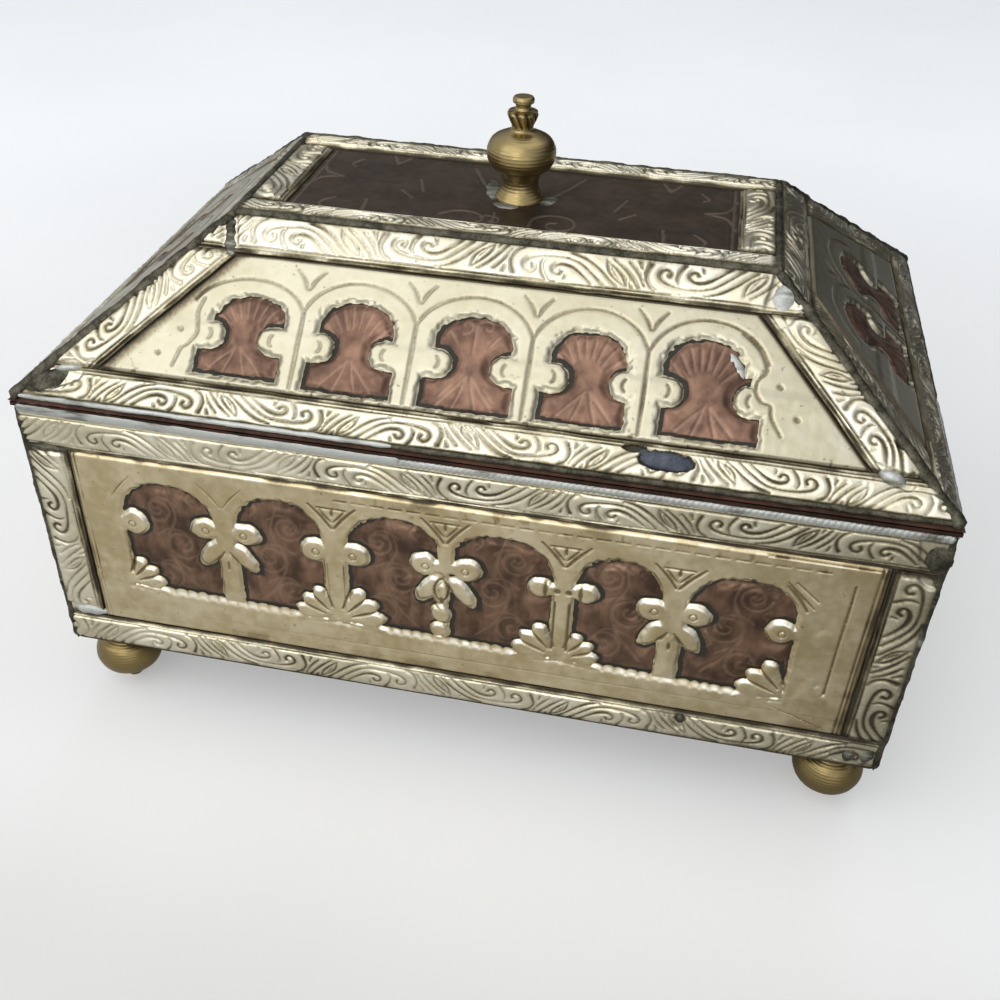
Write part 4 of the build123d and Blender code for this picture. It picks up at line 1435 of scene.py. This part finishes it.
def keyhole_metal(u, v, holes):
    """Number inside of the metal round a row of keyholes, without the sheet's outer edge."""
    metal = np.full(u.shape, far_away)
    torn = 0.3 + 0.35 * ramp(v, 22, 25)
    ragged = 0.2 * noise(u, v, 31, 1.5) + torn * 0.45 * noise(u, v, 3, 0.75)
    for hole in holes:
        middle, half = (hole.left + hole.right) / 2, (hole.right - hole.left) / 2
        y = np.maximum(v - keyhole_shoulder, 0) / (hole.top - keyhole_shoulder)
        x = np.abs((u - middle) / half)
        head = (1 - np.hypot(x**1.15, y**1.15) ** (1 / 1.15)) * half * 0.85
        head = np.minimum(head, v - keyhole_shoulder + 0.9)
        waist = (hole.waist_left + hole.waist_right) / 2
        shaft = bar(u, v, waist, hole.waist_right - waist + 2.8, foot_head - 1, keyhole_shoulder + 0.5)
        base = (hole.foot_left + hole.foot_right) / 2
        foot = bar(u, v, base, hole.foot_right - base, hole.foot, foot_head)
        core = bar(u, v, waist, hole.waist_right - waist + 0.6, hole.foot, keyhole_shoulder + 3.0)
        opening = blend(np.minimum(blend(join(head, core), shaft), -nips(u, v, hole)), foot)
        metal = np.minimum(metal, -opening)
    return metal + ragged * ramp(metal, 2.0, 0.8)


# %% Engraving of the keyholes
arch_spring = 21.0


def keyhole_lines(holes):
    """Arch lines, crescents on the lobes, parting lines and the strokes over them."""
    lines = []
    partings = [(a.axis + b.axis) / 2 for a, b in zip(holes[:-1], holes[1:])]
    partings = [holes[0].axis - keyhole_pitch / 2] + partings + [holes[-1].axis + keyhole_pitch / 2]
    for hole, left, right in zip(holes, partings[:-1], partings[1:]):
        rise = hole.arch - arch_spring
        arch = []
        for a in np.radians(np.linspace(160, 20, 9)):
            reach = (hole.axis - left if np.cos(a) < 0 else right - hole.axis) * 1.06
            arch.append((hole.axis + reach * np.cos(a), arch_spring + rise * np.sin(a), 0.17))
        lines.append(arch)
        for tip, side in ((hole.waist_left, -1), (hole.waist_right, 1)):
            bow = np.radians(np.linspace(-50, 50, 5))
            lines.append([
                (tip + side * (3.9 - 1.3 * np.cos(b)), nip_level + 1.5 * np.sin(b), 0.1) for b in bow
            ])
    for place in partings[1:-1]:
        lines.append([(place, 24.6, 0.16), (place + 0.1, 16, 0.22), (place + 0.1, 8.2, 0.1)])
        for side in (-1, 1):
            high, low = (place + side * 2.7, 32.4, 0.06), (place + side * 0.2, 28.6, 0.14)
            lines.append([high, (place + side * 1.2, 30.6, 0.2), low])
    return lines


def end_lines():
    """Wavy lines and dots at the two ends of the front row."""
    lines = [
        [(-54.9, 24.4, 0.14), (-55.6, 21.4, 0.16), (-55.1, 18.9, 0.16), (-54.9, 16.9, 0.16),
         (-56.1, 14.9, 0.16), (-57.4, 13.7, 0.16), (-57.9, 11.9, 0.16), (-58.4, 9.9, 0.12)],
        [(48.1, 30.0, 0.16), (51.4, 27.2, 0.18), (53.1, 23.6, 0.2), (51.6, 21.4, 0.2), (51.5, 19.4, 0.2),
         (52.7, 17.4, 0.18), (54.4, 16.8, 0.16), (54.9, 14.6, 0.16), (56.9, 11.4, 0.08)],
    ]
    for u, v in ((-58.4, 17.5), (-61.9, 12.2), (55.7, 20.6), (59.3, 14.9)):
        lines.append([(u, v + 0.12, 0.34), (u + 0.2, v - 0.12, 0.34)])
    return lines


# %% One pierced sheet of the lid
lobe_rise, keyhole_mark_depth = 0.14, 0.22


def keyhole_row(face, holes):
    """The pierced sheet of a slope, with its engraving. It ends at its strips, so its two sides
    slant, and the distance to them is (half length there - |u|) times the cosine of the slant."""
    climb = 1 / np.hypot(1, face.lean)
    low, high = rim_band + strip_margin, face.height - ridge_band - strip_margin
    half_low = face.half_foot - face.lean * low - (hip_band + strip_margin) / climb
    u, v = sheet_grid(half_low, low, high, front_sheet_step if face.name == "front" else sheet_step)
    side = (face.half_foot - face.lean * v - np.abs(u)) * climb - hip_band - strip_margin
    plate = np.minimum(side, np.minimum(v - low, high - v))
    metal = keyhole_metal(u, v, holes)
    inside = np.minimum(metal, plate)
    lines = keyhole_lines(holes) + (end_lines() if face.name == "front" else [])
    mark = ramp(groove_distance(u, v, lines, 0.7), 0.34, 0.0)
    bevel = 1 - ramp(inside, 0, bevel_width)
    lobes = join(*(nips(u, v, hole) for hole in holes)) * ramp(metal, 0.0, 0.5)
    dome = lobe_rise * ramp(lobes, 0.1, 2.0)
    height = sheet_height + dome - bevel_drop * bevel**1.4 - keyhole_mark_depth * mark
    height = beaten(height, u, v)
    # Painted shadow of the left hip strip, a soft band on the sheet beside it, and a thin dark line of dirt
    # along the right hip strip.
    hip_shadow_and_dirt = 0.85 * ramp(side, 3.6, 0.2) * ramp(u, 0, -30) + 0.9 * ramp(side, 1.2, 0.1) * ramp(u, 0, 20)
    # Stains painted heavier towards the right: partly real stains, partly painted shade on the side away
    # from the light.
    stains_and_right_shade = ramp(noise(u, v, 51, 7.0) + 0.5 * noise(u, v, 52, 2.2), 0.0, 1.0) * ramp(u, -70, 50)
    # Darker along the top edge of the sheet, under the ridge strip.
    darker_under_ridge = 0.7 * ramp(high - v, 1.4, 0.1) * (0.6 + 0.6 * noise(u, v, 12, 6.0))
    speck = ramp(noise(u, v, 21, 0.6) + 0.4 * noise(u, v, 22, 3.0), 0.5, 0.85)
    specks = speck * ramp(v, low + 3.2, low + 0.8)
    recess = 0.42 * mark + hip_shadow_and_dirt + darker_under_ridge + 0.5 * specks + 0.45 * ramp(inside, 0.3, 0.0)
    # The marks, too, are painted darker towards the right: painted shade.
    recess = recess + 0.2 * stains_and_right_shade + 0.2 * mark * ramp(u, -20, 50)
    recess = np.clip(recess + 0.5 * ramp(v - low, 0.8, 0.1), 0, 1)
    return pierced(face, u, v, inside, np.clip(height, lowest_sheet, crown), {"recess": recess})


# %% The pierced sheets of the lid
crown_level = 27.0
keyhole_room = 9.5
keyhole_rows = {"front": front_keyholes}
for name in order:
    face = slopes[name]
    if name != "front":
        half = face.half_foot - face.lean * crown_level - hip_band * np.hypot(1, face.lean)
        keyhole_rows[name] = even_keyholes(int(2 * (half - keyhole_room) / keyhole_pitch) + 1)
    piece = f"lid_pierced_sheet_{name}"
    sheet = keyhole_row(face, keyhole_rows[name])
    add_piece(piece, [sheet], lid_silver, "lid", f"lid_{name}_overlay")
    print(piece, pieces_made[piece], "faces,", len(keyhole_rows[name]), "keyholes")

# %% [markdown]
# Behind the openings the copper itself is chased: spirals on vines in the arcades, fan-shaped
# palmettes in the keyholes, and loose scrolls on the flat top. Each is a thin skin on the copper
# face, under the pierced sheet, whose grooves are the same kind of smooth curve. The copper bulges
# a little into every opening and is painted near black along the metal, a painted shadow of the
# sheet, so the skin asks the same function as the sheet how far it lies from the metal.

# %% A chased skin
skin_height = 0.14
chase_depth = 0.13
bulge_height = 0.62
shade_u, shade_v = 0.4, 0.25


def chased_skin(face, low, high, half, half_high, lines, step, metal=None):
    """Skin on a face between two levels. Its half length goes from half to half_high, and metal
    gives the number inside of the sheet over it. The painted shadow under the metal's edge is that
    number a little to the left and below, since the light comes from there."""
    v = np.arange(low, high + step, step)
    rows = int(2 * half / step)
    t = np.linspace(-1, 1, rows)[:, None]
    u = t * (half + (half_high - half) * (v - low) / (high - low))
    v = np.broadcast_to(v, u.shape)
    gap = groove_distance(u, v, lines, 1.0)
    line = ramp(gap, 0.3, 0.0)
    depth = 0 * u + 0.6 if metal is None else -metal(u, v)
    shaded = 0 * u + far_away if metal is None else -metal(u - shade_u, v - shade_v)
    free = ramp(depth, 0.0, 0.6)
    height = skin_height + bulge_height * ramp(depth, 0.1, 2.4) * (1 + 0.25 * noise(u, v, 2, 5.0))
    height = height + free * (0.04 * noise(u, v, 2, 7.0) - chase_depth * line)
    height = height + free * 0.06 * ramp(gap, 0.0, 0.5) * ramp(gap, 1.0, 0.5)
    height = np.clip(height, 0.02, sheet_height - 0.1)
    sole = face.place(u[:, [0, -1]], v[:, [0, -1]], np.zeros((rows, 2)))
    # The copper is painted dark along the sheet's edge as its shadow.
    values = {"chased": line, "gloom": ramp(shaded, 0.95, 0.2)}
    return slab(face.place(u, v, height), sole, values)


# %% Spirals and vines
def spiral(middle, level, radius, turns, start, way, width=0.13):
    """Spiral groove: the radius shrinks evenly while it turns, from start in degrees."""
    t = np.linspace(0, 1, int(8 * turns) + 3)
    reach = radius * (1 - 0.86 * t)
    angle = np.radians(start) + way * 2 * np.pi * turns * t
    return [(x, y, width) for x, y in zip(middle + reach * np.cos(angle), level + reach * np.sin(angle))]


def vine(middle, way):
    """Vine of one arch: three spirals, each thrown off the stem on the other side, with buds."""
    stem = [(middle - way * 5.5, 20.5, 0.12), (middle - way * 1.0, 26.0, 0.14)]
    stem += [(middle + way * 1.2, 33.0, 0.14), (middle - way * 1.5, 40.0, 0.12), (middle, 46.5, 0.08)]
    lines = [stem]
    for level, reach, turn in ((24.2, 4.4, 1), (33.0, 4.2, -1), (41.5, 3.4, 1)):
        side = way * turn
        lines.append(spiral(middle + side * 2.2, level, reach, 1.7, 90 - side * 90, -side))
        lines.append(spiral(middle + side * 2.2, level, reach * 1.3, 0.45, 90 + side * 70, -side, 0.09))
    for level, side in ((28.6, -1), (37.4, 1), (45.0, -1)):
        u = middle + way * side * 5.6
        lines.append([(u, level - 1.6, 0.08), (u - way * side * 1.2, level, 0.13), (u, level + 1.6, 0.08)])
    return lines


# %% Palmettes
def palmette(hole, curled):
    """Short strokes that spread in the head of a keyhole and fall to both sides in its foot. Some
    have two curls on a stem instead."""
    lines = []
    middle, waist = (hole.left + hole.right) / 2, (hole.waist_left + hole.waist_right) / 2
    top = hole.top - nip_level
    if curled:
        lines.append([(waist, nip_level + 2.5, 0.05), (middle, nip_level + top * 0.8, 0.16)])
        for side in (-1, 1):
            curl, turn = middle + side * 2.0, 200 - side * 60
            lines.append(spiral(curl, nip_level + top * 0.78, 1.7, 0.8, turn, -side, 0.12))
            high = (middle + side * 4.6, nip_level + top * 0.62)
            lines.append(cut(high, (middle + side * 3.0, nip_level + top * 0.4), 0.2))
    else:
        for angle in np.radians(np.linspace(-56, 56, 8)):
            s, c = np.sin(angle), np.cos(angle)
            low = (middle + 4.0 * s, nip_level + 0.45 * top * c)
            lines.append(cut(low, (middle + 7.6 * s, nip_level + 0.96 * top * c), 0.17))
    for side in (-1, 1):
        for reach in (2.2, 5.6):
            high, low = (waist + side * 0.4, nip_level - 2.2), (waist + side * reach, hole.foot + 0.4)
            bend = (waist + side * reach * 0.55, hole.foot + 3.2)
            lines.append([(*high, 0.05), (*bend, 0.17), (*low, 0.08)])
        if curled:
            high, low = (waist + side * 3.2, hole.foot + 4.6), (waist + side * 5.2, hole.foot + 2.2)
            lines.append(cut(high, low, 0.24))
    return lines


# %% The copper behind the openings
front_arch_step, front_keyhole_step, skin_step = 0.32, 0.3, 0.45
for name in order:
    face, (posts, tops, fall) = walls[name], arcades[name]
    lines = []
    for place, (left, right) in enumerate(zip(posts[:-1], posts[1:])):
        lines += vine((left.axis + right.axis) / 2, 1 if place % 2 else -1)
    half = face.half_foot - wall_margin - 1.0
    step = front_arch_step if name == "front" else skin_step
    skin = chased_skin(
        face, sill_level - 3.0, max(tops) + 1.5, half, half, lines, step,
        lambda u, v: arcade_metal(u, v, posts, tops, fall)[0],
    )
    add_piece(f"base_chased_copper_{name}", [skin], copper, "base")

    face, holes = slopes[name], keyhole_rows[name]
    low, high = min(hole.foot for hole in holes) - 0.8, max(hole.top for hole in holes) + 1.0
    lines = [stroke for k, hole in enumerate(holes) for stroke in palmette(hole, k % 3 == 2)]
    half = max(-holes[0].foot_left, holes[-1].foot_right) + 1.2
    half_high = face.half_foot - face.lean * high - hip_band * np.hypot(1, face.lean) - 0.5
    step = front_keyhole_step if name == "front" else skin_step
    skin = chased_skin(
        face, low, high, half, min(half, half_high), lines, step,
        lambda u, v: keyhole_metal(u, v, holes),
    )
    add_piece(f"lid_chased_copper_{name}", [skin], lid_copper, "lid")
    print("chased copper,", name, "holds", len(lines), "strokes on the slope")

# %% The chased top
paired_strokes = [
    [(44.5, 9.0, 0.14), (42.5, 3.2, 0.18), (38.2, 1.2, 0.1)],
    [(44.5, -6.0, 0.14), (42.5, -0.6, 0.18), (38.2, 1.2, 0.1)],
    [(37.0, 11.8, 0.08), (38.6, 8.8, 0.18), (37.4, 7.4, 0.06)],
    [(36.6, -10.0, 0.08), (38.8, -13.0, 0.18), (38.2, -15.4, 0.08)],
    [(22.0, 3.8, 0.06), (20.0, -2.6, 0.14)],
    [(24.4, -3.0, 0.06), (21.4, -6.4, 0.16)],
    [(12.0, 13.0, 0.08), (9.0, 6.0, 0.14), (6.4, 1.0, 0.08)],
    [(44.0, 16.0, 0.1), (44.0, -16.5, 0.1)],
]


def top_lines():
    """Scrolls and strokes of the flat top: a half heart and leaves at each end, arcs and curls
    along the two long sides, and short strokes between them."""
    lines = [spiral(9.5, -12.5, 5.6, 1.3, 200, -1, 0.16), spiral(-7.0, -15.0, 7.5, 0.42, 165, -1, 0.14)]
    lines.append(spiral(-3.6, -13.6, 2.8, 0.8, 160, -1, 0.13))
    for u in (-29.5, -3.0, 31.0):
        lines.append([(u, -17.5, 0.1), (u - 0.3, -13.0, 0.2), (u - 0.6, -9.4, 0.06)])
    for u in (-29.0, 30.5):
        lines.append([(u - 2.2, 16.5, 0.12), (u, 11.0, 0.22)])
        lines.append([(u + 2.6, 16.5, 0.12), (u, 11.0, 0.22)])
    for side in (-1, 1):
        lines += [[(side * u, v, w) for u, v, w in stroke] for stroke in paired_strokes]
    return lines


tucked = 1.0
half = top_half_length - top_band_end + tucked
side = top_half_width - top_band_front + tucked
skin = chased_skin(top_face, -side, side, half, half, top_lines(), front_keyhole_step)
add_piece("lid_chased_top", [skin], dark_copper, "lid")
print("chased copper done,", sum(pieces_made.values()), "faces so far")

# %% [markdown]
# Feet and knob are turned. A profile of (radius, height) points is smoothed stretch by stretch
# and carried round the axis, and the tool's fine rings are a small ripple of the radius along
# the profile. The knob's collar is a ring of leaves: the radius follows |sin| round the axis,
# slanted by adding the height to the angle.

# %% Turned brass
lathe_columns = 72
lathe_spacing = 0.14
tool_ripple = 0.018


def lathe(stretches):
    """Profile points, from the bottom up, from stretches of (radius, height), each smoothed by
    itself. Where two stretches meet, the point that they share is kept once."""
    profile = np.vstack([curve(stretch, lathe_spacing) for stretch in stretches])
    return profile[np.concatenate([[True], np.hypot(*np.diff(profile, axis=0).T) > 1e-6])]


def turned(profile, x, y, z, shape=None, tarnish=None):
    """Closed part from a profile carried round an upright axis at (x, y), its zero at z. Shape adds
    to the radius, and tarnish says where dirt lies, both from the height and the angle."""
    angle = -np.linspace(0, 2 * np.pi, lathe_columns, endpoint=False)[None, :]
    radius, level = profile[:, :1], profile[:, 1:]
    along = np.concatenate([[0], np.cumsum(np.hypot(*np.diff(profile, axis=0).T))])[:, None]
    ripple = tool_ripple * (np.sin(along * 9.0) + 0.6 * np.sin(along * 23.0))
    level = level + 0 * angle
    wide = radius + ripple * ramp(radius, 0.1, 0.8) + 0 * angle
    if shape is not None:
        wide = wide + shape(level, angle)
    rings = np.stack([x + wide * np.cos(angle), y + wide * np.sin(angle), z + level], axis=-1)
    return tube(rings, {"recess": 0 * wide if tarnish is None else tarnish(level, angle)})


foot_profile = lathe([
    [(0.05, 0.06), (1.2, 0.05), (1.75, 0.35), (1.95, 1.2), (1.85, 2.2), (2.0, 3.0)],
    [(2.0, 3.0), (2.7, 3.75), (4.6, 4.15), (6.5, 5.5), (7.35, 7.3), (7.55, 8.6), (7.3, 10.1),
     (6.4, 12.0), (4.9, 13.3), (4.4, 13.7)],
    [(4.4, 13.7), (4.25, 14.2), (4.3, 14.9), (4.7, 15.3)],
    [(4.7, 15.3), (4.75, 16.1), (4.2, 16.4), (4.1, box_foot + 0.1)],
])
for foot in ("front_left", "front_right", "back_right", "back_left"):
    x, y, _ = sum(corners(f"{foot}_foot")) / 2
    shape = turned(foot_profile, x, y, 0.0)
    add_piece(f"turned_foot_{foot}", [shape], shaded_foot_brass, "base", f"{foot}_foot")
print("foot:", len(foot_profile), "rings of", lathe_columns, "points")

# %% The knob
collar_low, collar_high = 14.6, 18.0
leaves = 9


def collar(level, angle):
    """Place in the collar, 0 at its foot and 1 at its top, and across its leaves, 0 between two
    and 1 in the middle of one: |sin(leaves/2·(angle + lift/2))|."""
    lift = (level - collar_low) / (collar_high - collar_low)
    return lift, np.abs(np.sin(leaves / 2 * (angle + 0.5 * lift)))


def collar_leaves(level, angle):
    """What the slanted leaves add to the radius, with a fine fringe at their tips."""
    lift, leaf = collar(level, angle)
    inside = ramp(lift, 0.0, 0.12) * ramp(lift, 1.02, 0.9)
    fringe = 0.12 * inside * np.sin(31 * angle) * ramp(lift, 0.6, 1.0)
    return inside * (0.55 * leaf**0.6 - 0.5) * (0.5 + 0.5 * lift) + fringe


def collar_tarnish(level, angle):
    """Dirt in the hollows between the leaves."""
    lift, leaf = collar(level, angle)
    return ramp(leaf, 0.7, 0.1) * ramp(lift, 0, 0.1) * ramp(lift, 1.1, 1.0)


knob_profile = lathe([
    [(5.05, 0.0), (5.1, 0.5), (4.75, 1.0)],
    [(4.75, 1.0), (4.05, 2.2), (3.75, 3.4), (3.85, 4.6), (4.3, 5.6), (4.75, 6.2)],
    [(4.75, 6.2), (6.0, 7.0), (6.85, 8.4), (7.05, 9.9), (6.8, 11.2), (5.9, 12.6), (4.2, 13.5),
     (3.0, 13.9)],
    [(3.0, 13.9), (2.4, 14.2), (2.15, 14.6)],
    [(2.15, 14.6), (2.3, 15.4), (2.75, 16.4), (3.05, 17.4), (2.95, 18.0)],
    [(2.95, 18.0), (2.2, 18.15), (1.7, 18.3)],
    [(1.7, 18.3), (1.5, 18.7), (1.6, 19.3), (1.9, 19.6)],
    [(1.9, 19.6), (2.15, 19.8), (2.12, 20.5), (1.75, 20.85), (0.9, 20.88), (0.05, 20.88)],
])
shape = turned(knob_profile, 0, 0, plate_top, collar_leaves, collar_tarnish)
add_piece("turned_knob", [shape], brass, "lid", "knob")
print("knob:", len(knob_profile), "rings of", lathe_columns, "points")

# %% [markdown]
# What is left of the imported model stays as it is: the copper box and lid behind the sheets, the
# seams inside and the hinge. They take the same finishes.

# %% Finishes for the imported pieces
for node, packed in frame["nodes"].items():
    # The copper box takes the darker copy: painted shade for its seam under the lid.
    finish = shaded_wall_copper
    if "solder" in node:
        finish = solder
    elif node.startswith("hinge"):
        finish = brass
    elif node == "lid_top_plate":
        finish = dark_copper
    packed.data.materials.clear()
    packed.data.materials.append(finish)
print("packed nodes given a finish:", len(frame["nodes"]))

# %% [markdown]
# The floor is plain and pale, and the backdrop is the world itself. Both have a glow that only the
# camera and polished metal see, so they can be pale without more light on the chest. Metal needs
# something to mirror: a floor that is dark near the chest, and a room that is light towards the
# window and dark on the other side. Lengths in these two cells are in metres.

# %% The floor
floor_reach = 1.15
turn = np.linspace(0, 2 * np.pi, 96, endpoint=False)
rim_points = floor_reach * np.stack([np.cos(turn), np.sin(turn), 0 * turn], axis=-1)
floor_mesh = bpy.data.meshes.new("floor")
floor_mesh.from_pydata(rim_points.tolist(), [], [list(range(len(turn)))])
floor = bpy.data.objects.new("floor", floor_mesh)
bpy.context.scene.collection.objects.link(floor)

floor_finish = Finish("floor_paint")
place = floor_finish.place
seen = place.node("LightPath", output="Is Camera Ray")
mirrored = place.node("LightPath", output="Is Glossy Ray")
away = place.node("VectorMath", {"operation": "LENGTH"}, {0: place}, "Value")
to_right = place.node("SeparateXYZ", {}, {0: place}, 0)
to_back = place.node("SeparateXYZ", {}, {0: place}, 1)
near_glow = to_back.between(-0.13, -0.07).tint(web("696964"), web("939393"))
seen_glow = away.between(0.15, 0.42).tint(near_glow, web("b2b5b8"))
mirrored_glow = away.between(0.16, 0.62).tint(web("444442"), web("8b8f92"))
glow = seen.tint(mirrored.tint(web("000000"), mirrored_glow), seen_glow)
paint = floor_finish.cloud(180.0, 3.0).between(0.3, 0.7).tint(web("dcdbd9"), web("e4e3e1"))
# Seen in the metal, the floor is painted darker to the right: a painted dark reflection for the chest's
# right side.
paint = (mirrored * to_right.between(0.0, 0.12)).tint(paint, web("a3a29f"))
floor_mesh.materials.append(
    floor_finish.paint(Base_Color=paint, Roughness=0.6, Emission_Strength=1.0, Emission_Color=glow)
)
print("floor:", len(turn), "corners,", floor_reach, "m from the middle to its edge")

# %% The room
window_way = (-0.45, -0.55, 0.7)
world = bpy.data.worlds.new("room")
bpy.context.scene.world = world
world.use_nodes = True
background = world.node_tree.nodes["Background"]
sky = Wire(world.node_tree, None)
seen, glossy, through = (
    sky.node("LightPath", output=f"Is {ray} Ray") for ray in ("Camera", "Glossy", "Transmission")
)
direction = sky.node("TexCoord", output="Generated")
towards = {0: direction, 1: window_way}
window_side = sky.node("VectorMath", {"operation": "DOT_PRODUCT"}, towards, "Value")
room = window_side.between(-0.5, 0.5).tint(web("201f1d"), web("e6e9ee"))
shade = seen.tint(glossy.most(through).tint(web("90959b"), room), web("e3e7ea"))
world.node_tree.links.new(shade.socket, background.inputs["Color"])
background.inputs["Strength"].default_value = 1.0
print("room:", len(world.node_tree.nodes), "nodes")

# %% [markdown]
# A large soft lamp stands where the window is, and three weaker ones soften the shade, give the
# front its glint and fill the right side. The camera stands where the photograph was taken from.
# Its place, turns and focal length were fitted to the corners of the chest, because one guessed by
# eye is never right in all four corners.


# %% Lamps
def lamp(name, spot, aim, size, power):
    """Square soft lamp at a spot in millimetres, turned to look at another."""
    data = bpy.data.lights.new(name, "AREA")
    data.size = size * MM
    data.energy = power
    made = bpy.data.objects.new(name, data)
    made.location = Vector(spot) * MM
    made.rotation_euler = (Vector(aim) - Vector(spot)).to_track_quat("-Z", "Y").to_euler()
    bpy.context.scene.collection.objects.link(made)


lamp("window", (-320, -500, 690), (0, 0, 60), 1000, 4.2)
lamp("ceiling", (40, 220, 800), (0, 0, 60), 700, 1.2)
lamp("glint", (-80, -560, 300), (0, 0, 45), 200, 0.22)
lamp("room_fill", (250, -700, 260), (0, 0, 50), 500, 0.5)
print("lamps:", len(bpy.data.lights))

# %% Camera
camera_spot = np.array([36.31, -221.8, 200.39])
pan, tilt, roll = np.radians([-9.694, 36.979, 2.269])
focal_pixels = 1127.5
picture_pixels = 1000.0
sensor = 36.0
ahead = np.array([np.sin(pan) * np.cos(tilt), np.cos(pan) * np.cos(tilt), -np.sin(tilt)])
level = np.array([np.cos(pan), -np.sin(pan), 0])
upright = np.cross(level, ahead)
stance = np.eye(4)
stance[:3, 0] = np.cos(roll) * level + np.sin(roll) * upright
stance[:3, 1] = np.cos(roll) * upright - np.sin(roll) * level
stance[:3, 2] = -ahead
stance[:3, 3] = camera_spot * MM
camera_data = bpy.data.cameras.new("camera")
camera_data.sensor_width = sensor
camera_data.lens = sensor * focal_pixels / picture_pixels
camera_data.clip_start = 0.01
camera = bpy.data.objects.new("camera", camera_data)
camera.matrix_world = Matrix(stance.tolist())
bpy.context.scene.collection.objects.link(camera)
bpy.context.scene.camera = camera
bpy.context.scene.view_settings.view_transform = "Standard"
print("camera:", round(camera_data.lens, 2), "mm lens, at", camera_spot.tolist())

# %% Sizes, and the end
print("faces in all:", sum(pieces_made.values()))
